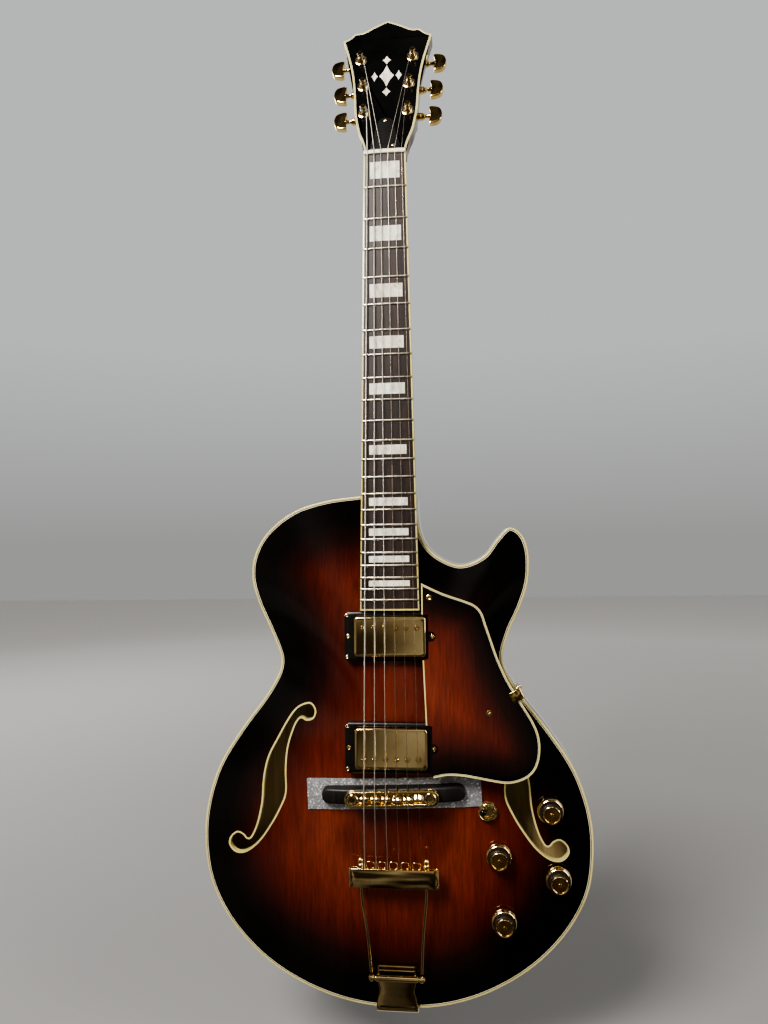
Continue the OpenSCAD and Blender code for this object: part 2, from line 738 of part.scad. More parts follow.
module on_bridge() {
    translate([0, 0, bridge_z]) rotate([0, -bridge_turn, 0]) children();
}
foam_t = 1.5;
foam_half_x = 85;
foam_half_z = 15;
base_half = 69;
base_front = -37.5;

// Thin protective sheet under the bridge, lying on the arch
module bridge_foam_sheet() {
    steps = 20;
    color("#8b8d91") on_bridge() loft([for (i = [0 : steps])
        let (x = -foam_half_x + 2 * foam_half_x * i / steps)
            for (c = [[-1, 1], [0, 1], [1, 1], [1, 0], [0, 0], [-1, 0]])
                let (z = c[0] * foam_half_z)
                    [x, top_at(x, bridge_z + z + x * sin(bridge_turn)) - 0.15 - c[1] * foam_t, z]], 6);
}

// Fitted foot of the bridge: its underside follows the arch, its ends slope down
function base_top(x) = base_front + 5 * pow(max(0, abs(x) - 42) / (base_half - 42), 1.5);
module bridge_base() {
    steps = 22;
    half_z = 8.5;
    color("#17120f") on_bridge() loft([for (i = [0 : steps])
        let (x = -base_half + 2 * base_half * i / steps)
            for (c = [[-1, 0], [1, 0], [0.7, 1], [-0.7, 1]])
                let (z = c[0] * half_z,
                    low = top_at(x, bridge_z + z + x * sin(bridge_turn)) - foam_t - 0.45)
                    [x, c[1] == 0 ? low : base_top(x), z]], 4);
}

bridge_body_back = -42;
bridge_body_front = -47;
wheel_t = 1.8;
bridge_post_r = 2;
module bridge_posts() {
    color("#d8b45a") on_bridge() for (x = [-1, 1]) translate([x * post_gap / 2, 0, 0])
        peg(bridge_post_r, -46.5, -30.5);
}

// Knurled adjusting wheel: a plain disc with notches round its rim
module thumbwheel(side) {
    notches = 24;
    color("#d8b45a") on_bridge() translate([side * post_gap / 2, 0, 0]) difference() {
        peg(8, bridge_body_back + 0.05, bridge_body_back + 0.05 + wheel_t);
        peg(bridge_post_r + 0.06, -60, -20);
        for (k = [0 : notches - 1]) rotate([0, 360 * k / notches, 0])
            translate([8.3, 0, 0]) peg(0.6, -60, -20);
    }
}
module bass_thumbwheel() thumbwheel(-1);
module treble_thumbwheel() thumbwheel(1);

module bridge_body() {
    color("#d8b45a") on_bridge() difference() {
        round_slab(90, 15, 7.4, bridge_body_front, bridge_body_back);
        translate([-34, -60, -5]) cube([68, 16.5, 10]);
        for (x = [-1, 1]) translate([x * post_gap / 2, 0, 0]) peg(bridge_post_r + 0.4, -60, -20);
        for (i = [0 : 5]) translate([saddle_x(i), -45.2, 0]) cylinder(h = 20, r = 1.15);
    }
}

module saddles() {
    color("#d8b45a") on_bridge() for (i = [0 : 5]) {
        peak = SADDLE_AT[i][1] + STRING_R[i] + 0.05;
        difference() {
            translate([saddle_x(i), 0, 0])
                rotate([90, 0, 90]) translate([0, 0, -4.4]) linear_extrude(8.8)
                    polygon([[-43.55, -3.2], [-43.55, 3.2], [peak + 0.8, 2], [peak, 0.4], [peak, -0.4],
                        [peak + 0.8, -2]]);
            translate([saddle_x(i), -45.2, -4]) cylinder(h = 8, r = 0.9);
        }
        translate([saddle_x(i), -45.2, -3]) cylinder(h = 11.5, r = 0.85);
        translate([saddle_x(i), -45.2, 7.8]) cylinder(h = 1.6, r = 1.8);
    }
}

// Tailpiece ---------------------------------------------------------------------------------------

hinge_z = -817;
hinge_y = -22;
hinge_r = 2.3;
tail_bar_z = -723.5;
tail_bar_h = 17.5;
tail_pin_y = 8;

// Cross-section of the tailpiece's band: a shallow bow whose ends turn back
module tail_band(h, r_end, half, t) {
    bow = [for (a = [-12 : 4 : 12]) [half * 0.9 * a / 12, -41 + 0.8 * pow(a / 12, 2)]];
    outer = concat([[-half, -34], [-half, -37.5]], bow, [[half, -37.5], [half, -34]]);
    inner = [for (p = outer) [p[0] * (half - t) / half, p[1] + (p[1] < -35 ? t : 0)]];
    linear_extrude(h) polygon(concat(outer, reversed(inner)));
}

module tailpiece() {
    color("#d8b45a") {
        translate([0, 0, tail_bar_z]) tail_band(tail_bar_h, 4, 43.5, 1.8);
        // Plate behind the band that holds the string ends
        difference() {
            translate([-36, -37.4, tail_bar_z + 3]) cube([72, 2.2, 14]);
            for (i = [0 : 5]) translate([TAIL_AT[i][0], 0, tail_bar_z + 11]) peg(1.3, -40, -30);
        }
        for (x = [-1, 1]) {
            translate([x * 38, -37.3, tail_bar_z + 3]) cube([8, 4, 12], center = true);
            // Bullet finials above the band
            translate([x * 31.5, -36.8, tail_bar_z + 12]) cylinder(h = 11, r = 3);
            translate([x * 31.5, -36.8, tail_bar_z + 23]) cylinder(h = 4, r1 = 3, r2 = 0.8);
            // Arms down to the hinge, with an eye round its pin
            difference() {
                union() {
                    rod([x * 31, -35.5, tail_bar_z + 4], [x * 24.2, hinge_y, hinge_z], 1.5);
                    translate([x * 24.2 - 1.6, hinge_y, hinge_z]) rotate([0, 90, 0])
                        cylinder(h = 3.2, r = 3.4);
                }
                translate([x * 24.2 - 4, hinge_y, hinge_z]) rotate([0, 90, 0])
                    cylinder(h = 8, r = hinge_r + 0.05);
            }
        }
    }
}

module tail_bracket() {
    color("#d8b45a") {
        // Pin and barrel of the hinge
        translate([-27.5, hinge_y, hinge_z]) rotate([0, 90, 0]) cylinder(h = 55, r = hinge_r);
        translate([-20.5, hinge_y, hinge_z]) rotate([0, 90, 0]) cylinder(h = 41, r = 3.2);
        for (k = [0, 1]) translate([-18.5, hinge_y + 1.5, hinge_z + 6.5 + 4 * k]) rotate([0, 90, 0])
            cylinder(h = 37, r = 0.9);
        for (x = [-17.5, 17.5]) translate([x - 0.8, hinge_y + 0.6, hinge_z]) cube([1.6, 1.8, 12]);
        // Saddle plate from the barrel over the rim's edge
        translate([-17.5, hinge_y + 0.6, -834]) cube([35, 1.8, 17]);
        translate([-20.5, hinge_y + 0.6, -851]) cube([41, 1.8, 17.2]);
        difference() {
            translate([-20.5, hinge_y + 0.6, -851]) cube([41, 42, 1.8]);
            translate([0, tail_pin_y, -860]) cylinder(h = 20, r = 2.6);
            for (x = [-14, 14]) translate([x, 14, -860]) cylinder(h = 20, r = 1.6);
        }
    }
}

// Strings -----------------------------------------------------------------------------------------

// Where each string leaves its post, on the inner side
POST_STRING_AT = [for (i = [0 : 5]) let (p = POST_AT[i], side = p[0] < 0 ? 1 : -1)
    from_head([p[0] + side * (3.6 + STRING_R[i]), -5.4, p[1] - 1])];

// One string: an eight-sided tube through its points, thin enough to need no more
module string_run(points, r) {
    sides = 8;
    loft([for (p = points) for (k = [0 : sides - 1])
        [p[0] + r * cos(360 * k / sides), p[1] + r * sin(360 * k / sides), p[2]]], sides);
}

module strings() {
    color("#c8c4ba") for (i = [0 : 5])
        string_run([POST_STRING_AT[i], NUT_AT[i], SADDLE_AT[i]], STRING_R[i]);
}

module string_tails() {
    color("#c8c4ba") for (i = [0 : 5])
        string_run([SADDLE_AT[i] - [0, 0, 2 * STRING_R[i]], TAIL_AT[i], TAIL_AT[i] - [0, 0, 8]],
            STRING_R[i]);
}

// Controls ----------------------------------------------------------------------------------------

// Frame of a control: y is measured from the face of the top
module on_top(p) {
    translate([p[0], top_at(p[0], p[1]), p[1]]) children();
}

pot_shaft_r = 3;
module control_pots() {
    color("#9a9a94") for (p = KNOB_AT) on_top(p) difference() {
        union() {
            peg(pot_hole_r - 0.15, -5.5, plate_t + 2);
            rotate([90, 0, 0]) translate([0, 0, 1.9]) cylinder(h = 2, r = 6.4, $fn = 6);
            peg(8, -1.9, -1.1);
            peg(12, plate_t + 1.8, plate_t + 11);
            translate([-8, plate_t + 4, -18]) cube([16, 1.5, 10]);
        }
        peg(pot_shaft_r + 0.05, -10, plate_t + 3);
        peg(10, plate_t + 3, plate_t + 10);
    }
}

// Half-section of a knob: radius, then height above the face of the top
knob_lift = 2.8;
KNOB_SECTION = [[pot_shaft_r - 0.3, 6.5], [8.6, 6.5], [8.6, 0], [knob_d / 2 - 0.3, 0], [knob_d / 2, 0.4],
    [knob_d / 2 - 0.2, 1.6], [11.4, 2.6], [11, 3], [10, knob_h - 3.4], [9.4, knob_h - 2.8],
    [8.3, knob_h - 2.6], [8.1, knob_h - 0.4], [7.7, knob_h], [7.1, knob_h], [6.8, knob_h - 1.6],
    [2.2, knob_h - 1.8], [1.8, knob_h - 1], [0, knob_h - 0.7], [0, 7.5], [pot_shaft_r - 0.3, 7.5]];
grips = 24;
module knob(p) {
    color("#2a231c") on_top(p) {
        rotate([90, 0, 0]) translate([0, 0, knob_lift]) difference() {
            rotate_extrude() polygon(KNOB_SECTION);
            for (k = [0 : grips - 1]) rotate([0, 0, 360 * k / grips]) translate([11.4, 0, 3.2])
                cylinder(h = knob_h - 7, r = 0.7);
        }
        peg(pot_shaft_r, -knob_lift - 7, plate_t + 8);
        peg(9, plate_t + 7, plate_t + 8.5);
    }
}
module neck_volume_knob() knob(KNOB_AT[0]);
module bridge_volume_knob() knob(KNOB_AT[1]);
module neck_tone_knob() knob(KNOB_AT[2]);
module bridge_tone_knob() knob(KNOB_AT[3]);

module toggle_switch() {
    color("#c9a24a") on_top(SWITCH_AT) {
        difference() {
            union() {
                peg(6, -4, plate_t + 4);
                peg(9.2, -3.2, -1);
                translate([-7, plate_t + 3, -13]) cube([14, 22, 26]);
            }
            rotate([-90, 0, 0]) translate([0, 0, -6]) cylinder(h = 9, r1 = 5.3, r2 = 3.4);
            peg(3.4, 2.5, plate_t + 20);
            translate([-5.5, plate_t + 8, -11.5]) cube([11, 15.5, 23]);
        }
    }
}

lever_pivot_y = 3;
module toggle_lever() {
    color("#1c1611") on_top(SWITCH_AT) translate([0, lever_pivot_y, 0])
        rotate(a = -lever_lean, v = [1, 0, 1]) {
            peg(1.5, -17, 4.5);
            sphere(r = 2.6);
            rotate([0, 45, 0]) cylinder(h = 6.4, r = 1, center = true);
            rotate([90, 0, 0]) translate([0, 0, 14]) cylinder(h = 7, r1 = 1.6, r2 = 2.9);
            translate([0, -21.2, 0]) sphere(r = 2.95);
        }
}

jack_sleeve_r = 4.7;
module output_jack() {
    color("#d8b45a") on_jack() difference() {
        union() {
            translate([0, 0, -9]) cylinder(h = 13, r = jack_sleeve_r);
            translate([0, 0, 0.8]) cylinder(h = 1, r = 8.5);
            translate([0, 0, 1.8]) cylinder(h = 2, r = 6.6, $fn = 6);
            translate([0, 0, -11]) cylinder(h = 2, r = 7);
            translate([4.6, -4, -38]) cube([1.2, 8, 28]);
            translate([2.6, -2, -38]) cube([3, 4, 1.5]);
        }
        translate([0, 0, -12]) cylinder(h = 20, r = jack_r);
    }
}

// Strap buttons: a waisted button on a screw
BUTTON_SECTION = [[0, -14], [1.5, -14], [1.5, 0], [5, 0], [4.2, 2], [3.5, 5], [4.5, 8], [6.5, 9.4],
    [6.8, 10.4], [6, 11.4], [2, 11.8], [0, 11.8]];
module strap_buttons() {
    color("#d8b45a") {
        translate([0, tail_pin_y, -851.1]) rotate([180, 0, 0]) rotate_extrude() polygon(BUTTON_SECTION);
        on_neck() translate([0, board_t + heel_depth + 0.2, heel_z + 7]) rotate([-90, 0, 0])
            rotate_extrude() polygon(BUTTON_SECTION);
    }
}

// One pan-head screw with its head seated at y = 0, driven along +Y
module screw(head_r, shank_r, length) {
    difference() {
        peg(head_r, -1.2, 0);
        rotate([0, 45, 0]) translate([-head_r, -1.6, -0.3]) cube([2 * head_r, 1, 0.6]);
    }
    peg(shank_r, -0.2, length);
}

module screws() {
    color("#d8b45a") {
        on_neck() for (k = [0, 1]) translate([0, 0, [neck_pickup_z, bridge_pickup_z][k]]) {
            for (x = [-1, 1], z = [-1, 1])
                translate([x * 42.3, ring_top, z * 20]) screw(1.9, 0.9, RING_DEPTH[k] + 5);
            for (x = [-1, 1]) translate([x * height_screw_x, ring_top, 0]) screw(2.2, 1.2, 16);
        }
        on_neck() for (p = GUARD_SCREWS) translate([p[0], guard_front, p[1]]) screw(3, 1.4, 6);
        on_head() translate([0, -2.2, 44]) screw(1.8, 1, 8);
        on_head() for (p = POST_AT) translate([p[0], case_back, p[1] + 14]) rotate([180, 0, 0])
            screw(1.5, 0.8, 3);
        for (x = [-14, 14]) translate([x, 14, -851.1]) rotate([90, 0, 0]) screw(3, 1.4, 12);
        translate([122.2, -8, -540]) rotate([0, -bracket_turn, 0]) translate([3.2, 0, 0])
            rotate([0, 0, 90]) screw(2.6, 1.3, 9);
    }
}

// Draw
back_plate();
sides();
top_plate();
body_bindings();
linings();
end_blocks();
tone_bars();
f_hole_bindings();
neck_shaft();
headstock();
truss_rod();
truss_rod_cover();
fretboard();
fretboard_binding();
frets();
block_inlays();
nut();
headstock_veneer();
headstock_binding();
headstock_inlay();
tuner_housings();
tuner_button_1();
tuner_button_2();
tuner_button_3();
tuner_button_4();
tuner_button_5();
tuner_button_6();
tuner_post_1();
tuner_post_2();
tuner_post_3();
tuner_post_4();
tuner_post_5();
tuner_post_6();
pickguard();
pickguard_binding();
pickguard_bracket();
pickup_rings();
neck_pickup();
bridge_pickup();
bridge_base();
bridge_foam_sheet();
bridge_posts();
bass_thumbwheel();
treble_thumbwheel();
bridge_body();
saddles();
tail_bracket();
tailpiece();
strings();
string_tails();
control_pots();
neck_volume_knob();
bridge_volume_knob();
neck_tone_knob();
bridge_tone_knob();
toggle_switch();
toggle_lever();
output_jack();
strap_buttons();
screws();
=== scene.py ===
import math
from math import cos, hypot, pi, radians, sin, tan

import bmesh
import bpy
import numpy as np
from mathutils import Matrix, Vector, geometry


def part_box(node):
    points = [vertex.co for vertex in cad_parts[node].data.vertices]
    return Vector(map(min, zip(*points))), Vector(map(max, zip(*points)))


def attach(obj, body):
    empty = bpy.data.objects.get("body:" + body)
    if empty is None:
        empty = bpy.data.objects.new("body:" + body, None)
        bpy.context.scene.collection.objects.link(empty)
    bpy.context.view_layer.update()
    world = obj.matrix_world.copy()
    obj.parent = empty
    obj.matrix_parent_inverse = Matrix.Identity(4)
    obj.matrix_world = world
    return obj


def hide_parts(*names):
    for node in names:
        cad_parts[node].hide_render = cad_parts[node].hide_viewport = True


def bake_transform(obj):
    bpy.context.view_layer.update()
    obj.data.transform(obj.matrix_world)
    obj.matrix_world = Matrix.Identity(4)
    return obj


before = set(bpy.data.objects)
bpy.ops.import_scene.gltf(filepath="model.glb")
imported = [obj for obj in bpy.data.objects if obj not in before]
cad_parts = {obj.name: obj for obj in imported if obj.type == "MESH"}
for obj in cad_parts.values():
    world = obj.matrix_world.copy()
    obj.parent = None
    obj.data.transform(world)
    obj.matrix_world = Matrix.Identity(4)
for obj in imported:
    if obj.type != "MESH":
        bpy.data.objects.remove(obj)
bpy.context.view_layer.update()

# Sizes are in millimetres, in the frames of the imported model, and become metres in new_piece().
MM = 0.001

# ---------------------------------------------------------------- camera and light


def set_camera():
    """Looks at the front from a little below and to the right of the middle, as in the reference view."""
    right = Vector((0.99394, 0.10879, -0.01595))
    up = Vector((0.01965, -0.033, 0.99926))
    back = Vector((0.10818, -0.99352, -0.03494))
    camera = bpy.data.objects.new("camera", bpy.data.cameras.new("camera"))
    bpy.context.scene.collection.objects.link(camera)
    turn = Matrix((right, up, back)).transposed().to_4x4()
    camera.matrix_world = Matrix.Translation((0.0771, -0.7779, -0.3921)) @ turn
    camera.data.sensor_width = 36
    camera.data.lens = 27.07
    camera.data.clip_start = 0.01
    bpy.context.scene.camera = camera


def area_light(name, place, target, size, power, tint=(1, 1, 1)):
    lamp = bpy.data.lights.new(name, "AREA")
    lamp.shape = "RECTANGLE"
    lamp.size, lamp.size_y = size
    lamp.energy = power
    lamp.color = tint
    holder = bpy.data.objects.new(name, lamp)
    bpy.context.scene.collection.objects.link(holder)
    aim = Vector(target) - Vector(place)
    holder.location = place
    holder.rotation_euler = aim.to_track_quat("-Z", "Y").to_euler()


def floor_paint():
    """Pale grey that grows lighter away from the lamps, so that the floor looks even."""
    made, tree, shader = new_material("studio_floor")
    spot = node(tree, "ShaderNodeTexCoord")
    reach = node(tree, "ShaderNodeVectorMath", {"operation": "LENGTH"}, {0: spot.outputs["Object"]})
    far = node(tree, "ShaderNodeMapRange", {"From Min": 1.0, "From Max": 3.4},
        {"Value": reach.outputs["Value"]})
    shade = ramp(tree, far.outputs["Result"], [(0.0, (0.25, 0.247, 0.243)), (1.0, (0.70, 0.695, 0.685))])
    wire(tree, shader, shade, 0.9)
    return made


def set_surround():
    """Pale when seen directly. Reflections see a dim room with a band of ceiling, and light behind."""
    world = bpy.data.worlds.new("studio")
    bpy.context.scene.world = world
    world.use_nodes = True
    tree = world.node_tree
    rays = node(tree, "ShaderNodeLightPath")
    ways = node(tree, "ShaderNodeTexCoord")
    parts = node(tree, "ShaderNodeSeparateXYZ", None, {0: ways.outputs["Generated"]})
    height = node(tree, "ShaderNodeMapRange", {"From Min": -1.0, "From Max": 1.0},
        {"Value": parts.outputs["Z"]})
    height = height.outputs["Result"]
    depth = node(tree, "ShaderNodeMapRange", {"From Min": -0.25, "From Max": 0.35},
        {"Value": parts.outputs["Y"]})
    under, low, wall = (0.11, 0.10, 0.09), (0.22, 0.205, 0.18), (0.36, 0.34, 0.31)
    ceiling, top = (1.0, 0.96, 0.88), (0.06, 0.055, 0.05)
    band = ramp(tree, height, [(0.0, under), (0.22, under), (0.34, low), (0.60, wall), (0.70, wall),
        (0.77, ceiling), (0.86, ceiling), (0.91, top), (1.0, top)])
    shapes = node(tree, "ShaderNodeTexNoise", {"Scale": 5.0, "Detail": 1.0},
        {"Vector": ways.outputs["Generated"]})
    patches = ramp(tree, shapes.outputs["Fac"], [(0.44, (0.14, 0.12, 0.10)), (0.50, (0.45, 0.43, 0.40)),
        (0.60, (1.0, 1.0, 1.0))])
    front = mix(tree, 1.0, band, patches, "MULTIPLY")
    room = mix(tree, depth.outputs["Result"], front, (0.46, 0.46, 0.46))
    sweep = ramp(tree, height, [(0.5, (0.29, 0.29, 0.286)), (0.62, (0.45, 0.455, 0.46))])
    seen = mix(tree, rays.outputs["Is Camera Ray"], room, sweep)
    tree.links.new(seen, tree.nodes["Background"].inputs["Color"])


FLOOR_GAP = 0.05
FLOOR_HALF = 6
WARM = (1, 0.97, 0.93)


def set_studio():
    """A plain pale floor under the hanging guitar, soft lamps and a pale surround."""
    floor_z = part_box("strap_buttons")[0].z - FLOOR_GAP
    floor = bpy.data.meshes.new("studio_floor")
    corners = [(FLOOR_HALF * x, FLOOR_HALF * y, floor_z) for x, y in ((-1, -1), (1, -1), (1, 1), (-1, 1))]
    floor.from_pydata(corners, [], [(0, 1, 2, 3)])
    holder = bpy.data.objects.new("studio_floor", floor)
    bpy.context.scene.collection.objects.link(holder)
    floor.materials.append(floor_paint())
    # Left out of mirror reflections, so that the gloss above it stays dark
    holder.visible_glossy = False
    set_surround()
    bpy.context.scene.view_settings.look = "AgX - High Contrast"
    area_light("key", (-0.9, -1.5, 1.1), (0, 0, -0.45), (0.9, 0.9), 74, WARM)
    area_light("side", (1.7, -0.8, 0.2), (0, 0, -0.4), (0.5, 1.6), 9, WARM)
    area_light("back", (-1.4, 1.6, 0.9), (0, 0.2, -0.9), (1.2, 1.2), 16)


# ---------------------------------------------------------------- materials


def new_material(name):
    made = bpy.data.materials.new(name)
    made.use_nodes = True
    shader = made.node_tree.nodes["Principled BSDF"]
    return made, made.node_tree, shader


def node(tree, kind, settings=None, links=None):
    """Adds a shader node, fills in its sockets and attributes, and links its inputs."""
    made = tree.nodes.new(kind)
    for key, value in (settings or {}).items():
        if isinstance(key, int) or key in made.inputs:
            made.inputs[key].default_value = value
        else:
            setattr(made, key, value)
    for key, source in (links or {}).items():
        tree.links.new(source, made.inputs[key])
    return made


def ramp(tree, source, stops):
    """Colour ramp with the stops (place, colour) on a 0 to 1 value."""
    made = tree.nodes.new("ShaderNodeValToRGB")
    keys = made.color_ramp.elements
    keys[0].position, keys[-1].position = stops[0][0], stops[-1][0]
    for place, _ in stops[1:-1]:
        keys.new(place)
    for key, (_, tint) in zip(keys, stops):
        key.color = (*tint, 1)
    tree.links.new(source, made.inputs["Fac"])
    return made.outputs["Color"]


def place(tree, scale=(1, 1, 1)):
    """Object coordinates stretched by a scale along each axis."""
    coords = node(tree, "ShaderNodeTexCoord")
    stretch = node(tree, "ShaderNodeMapping", {"Scale": scale}, {"Vector": coords.outputs["Object"]})
    return stretch.outputs["Vector"]


def noise(tree, size, detail=4.0, rough=0.55, twist=0.0, scale=(1, 1, 1)):
    settings = {"Scale": size, "Detail": detail, "Roughness": rough, "Distortion": twist}
    return node(tree, "ShaderNodeTexNoise", settings, {"Vector": place(tree, scale)}).outputs["Fac"]


def mix(tree, share, a, b, mode="MIX"):
    made = tree.nodes.new("ShaderNodeMix")
    made.data_type = "RGBA"
    made.blend_type = mode
    for key, value in ((0, share), (6, a), (7, b)):
        if isinstance(value, bpy.types.NodeSocket):
            tree.links.new(value, made.inputs[key])
        elif key == 0:
            made.inputs[0].default_value = value
        else:
            made.inputs[key].default_value = (*value, 1)
    return made.outputs[2]


def bump(tree, shader, height, depth, strength=1.0):
    made = node(tree, "ShaderNodeBump", {"Strength": strength, "Distance": depth}, {"Height": height})
    tree.links.new(made.outputs["Normal"], shader.inputs["Normal"])


def spread(tree, source, low, high):
    """A 0 to 1 value spread between two limits."""
    made = node(tree, "ShaderNodeMapRange", {"To Min": low, "To Max": high}, {"Value": source})
    return made.outputs["Result"]


def wire(tree, shader, colour, rough, fixed=None):
    """Gives the shader its colour, its roughness and the fixed values of its other sockets."""
    tree.links.new(colour, shader.inputs["Base Color"])
    if isinstance(rough, float):
        shader.inputs["Roughness"].default_value = rough
    else:
        tree.links.new(rough, shader.inputs["Roughness"])
    for key, value in (fixed or {}).items():
        shader.inputs[key].default_value = value


RIM_SPAN = 150.0


def lacquer(name, rim_stops, grain):
    """Clear gloss over stained wood: the colour runs with the distance from the rim, the grain with z."""
    made, tree, shader = new_material(name)
    rim = node(tree, "ShaderNodeAttribute", {"attribute_name": "rim"})
    cloud = noise(tree, 9.0, 2.0)
    share = node(tree, "ShaderNodeMath", {"operation": "DIVIDE", 1: RIM_SPAN}, {0: rim.outputs["Fac"]})
    shifted = node(tree, "ShaderNodeMath", {"operation": "MULTIPLY_ADD", 1: 0.1},
        {0: cloud, 2: share.outputs[0]})
    stain = ramp(tree, shifted.outputs[0], [(p / RIM_SPAN + 0.05, c) for p, c in rim_stops])
    lines = noise(tree, 520.0, 3.0, 0.6, scale=(1, 1, 0.06))
    streaks = noise(tree, 60.0, 3.0, 0.6, 0.4, (1, 1, 0.12))
    fine = ramp(tree, lines, [(0.3, (1 - grain,) * 3), (0.7, (1, 1, 1))])
    broad = ramp(tree, streaks, [(0.3, (1 - 0.7 * grain,) * 3), (0.7, (1, 1, 1))])
    wood = mix(tree, 1.0, mix(tree, 1.0, stain, fine, "MULTIPLY"), broad, "MULTIPLY")
    wire(tree, shader, wood, spread(tree, noise(tree, 35.0, 5.0, 0.7), 0.22, 0.42),
        {"Specular IOR Level": 0.1, "Coat Weight": 1.0, "Coat Roughness": 0.035})
    bump(tree, shader, lines, 0.00006, 0.25)
    return made


def celluloid(name):
    """Cream binding: slightly see-through, yellowed in patches."""
    made, tree, shader = new_material(name)
    tint = (0.68, 0.585, 0.25)
    patches = ramp(tree, noise(tree, 25.0), [(0.35, tuple(0.82 * c for c in tint)), (0.65, tint)])
    wire(tree, shader, patches, spread(tree, noise(tree, 300.0), 0.2, 0.38), {"Coat Weight": 0.5,
        "Coat Roughness": 0.08, "Subsurface Weight": 0.08, "Subsurface Scale": 0.002})
    return made


def open_wood(name, dark, light, size, gloss, pores):
    """Bare or oiled wood with long streaks and open pores along z."""
    made, tree, shader = new_material(name)
    along = 0.05
    streaks = noise(tree, size, 5.0, 0.65, 0.6, (1, 1, along))
    holes = noise(tree, size * 9, 2.0, 0.5, scale=(1, 1, along * 0.6))
    tone = ramp(tree, streaks, [(0.32, dark), (0.68, light)])
    pore_mask = ramp(tree, holes, [(0.34, (1 - pores,) * 3), (0.46, (1, 1, 1))])
    wire(tree, shader, mix(tree, 1.0, tone, pore_mask, "MULTIPLY"), spread(tree, streaks, gloss,
        gloss + 0.18))
    bump(tree, shader, pore_mask, 0.00012, 0.5)
    return made


def metal(name, tint, rough=0.12, wear=(0.55, 0.5, 0.45), scratch=0.5):
    """Plated or plain metal: faint tarnish in patches, fine scratches in the polish."""
    made, tree, shader = new_material(name)
    worn = tuple(a * b for a, b in zip(tint, wear))
    tarnish = ramp(tree, noise(tree, 55.0, 6.0, 0.7), [(0.28, worn), (0.52, tint)])
    scratches = noise(tree, 900.0, 3.0, 0.7, scale=(1, 0.2, 1))
    both = node(tree, "ShaderNodeMath", {"operation": "MULTIPLY"}, {0: scratches, 1: noise(tree, 130.0)})
    wire(tree, shader, tarnish, spread(tree, both.outputs[0], rough * 0.5, rough * 2.4), {"Metallic": 1.0})
    bump(tree, shader, scratches, 0.00002, scratch * 0.3)
    return made


def pearl(name):
    """Pearloid: drifting pale and grey figure that glows a little."""
    made, tree, shader = new_material(name)
    swirl = noise(tree, 95.0, 3.0, 0.6, 1.6, (1, 1, 0.5))
    base = ramp(tree, swirl, [(0.3, (0.46, 0.44, 0.38)), (0.48, (0.72, 0.69, 0.6)),
        (0.62, (0.86, 0.85, 0.78))])
    tints = ramp(tree, noise(tree, 40.0, 2.0), [(0.35, (0.96, 1.0, 0.98)), (0.65, (1.0, 0.95, 0.92))])
    wire(tree, shader, mix(tree, 1.0, base, tints, "MULTIPLY"), spread(tree, swirl, 0.3, 0.15),
        {"Coat Weight": 0.6, "Coat Roughness": 0.05})
    return made


def moulding(name, tint, low, high, texture=900.0, depth=0.00003):
    """Plastic with a moulded or polished skin."""
    made, tree, shader = new_material(name)
    light = tuple(min(1, 1.35 * c + 0.002) for c in tint)
    dust = noise(tree, texture, 3.0)
    wire(tree, shader, ramp(tree, noise(tree, 45.0), [(0.3, tint), (0.7, light)]), spread(tree, dust, low,
        high))
    bump(tree, shader, dust, depth, 0.3)
    return made


def foam_material():
    """Grey packing foam: cells in varied greys, with painted glints where the brightest cells are painted
    pale.
    """
    made, tree, shader = new_material("packing_foam")
    cells = node(tree, "ShaderNodeTexVoronoi", {"Scale": 700.0}, {"Vector": place(tree)})
    # Painted glints: the brightest cells are painted pale in the colour itself, the rest are the foam's own
    # greys
    painted_glint_specks = ramp(tree, cells.outputs["Color"], [(0.45, (0.20, 0.20, 0.21)), (0.75, (0.30, 0.30, 0.31)),
        (0.93, (0.75, 0.74, 0.72))])
    wire(tree, shader, painted_glint_specks, spread(tree, noise(tree, 400.0), 0.45, 0.9))
    bump(tree, shader, cells.outputs["Distance"], 0.0003, 0.6)
    return made


def wound_steel():
    """Nickel wrap on the bass strings: fine turns along the string, with painted shade in the grooves
    between them and a painted highlight on their crests.
    """
    made, tree, shader = new_material("wound_string")
    bands = {"wave_type": "BANDS", "bands_direction": "Z", "Scale": 900.0}
    turns = node(tree, "ShaderNodeTexWave", bands, {"Vector": place(tree)}).outputs["Fac"]
    # Painted shade and highlight: dark in the grooves between the turns, pale on their crests
    tone = ramp(tree, turns, [(0.2, (0.40, 0.37, 0.33)), (0.8, (0.92, 0.90, 0.84))])
    wire(tree, shader, tone, 0.42, {"Metallic": 1.0})
    bump(tree, shader, turns, 0.0001, 0.6)
    return made


# ---------------------------------------------------------------- curves and solids


def curve_at(a, b, c, d, t):
    return 0.5 * (2 * b + (c - a) * t + (2 * a - 5 * b + 4 * c - d) * t * t + (3 * b - a - 3 * c + d)
        * t**3)


def open_curve(points, steps):
    """Smooth open curve through the points, the last one included."""
    p = [np.array(q, float) for q in points]
    last = len(p) - 1
    made = []
    for i in range(last):
        row = (p[max(i - 1, 0)], p[i], p[i + 1], p[min(i + 2, last)])
        made += [curve_at(*row, j / steps) for j in range(steps)]
    return made + [p[-1]]


def closed_curve(points, steps):
    p = [np.array(q, float) for q in points]
    n = len(p)
    return [curve_at(p[i - 1], p[i], p[(i + 1) % n], p[(i + 2) % n], j / steps) for i in range(n)
        for j in range(steps)]


def inset(points, d):
    """Closed outline moved in by d; it runs anticlockwise seen from the front."""
    n = len(points)
    made = []
    for i in range(n):
        v = np.array(points[(i + 1) % n]) - np.array(points[i - 1])
        made.append(np.array(points[i]) + d * np.array([-v[1], v[0]]) / np.hypot(*v))
    return made


def mirrored(points):
    return [np.array([-p[0], p[1]]) for p in reversed(points)]


def both_halves(half):
    """Half an outline that ends on the middle line, joined to its mirror image."""
    return list(half) + [np.array([-p[0], p[1]]) for p in reversed(half[:-1])]


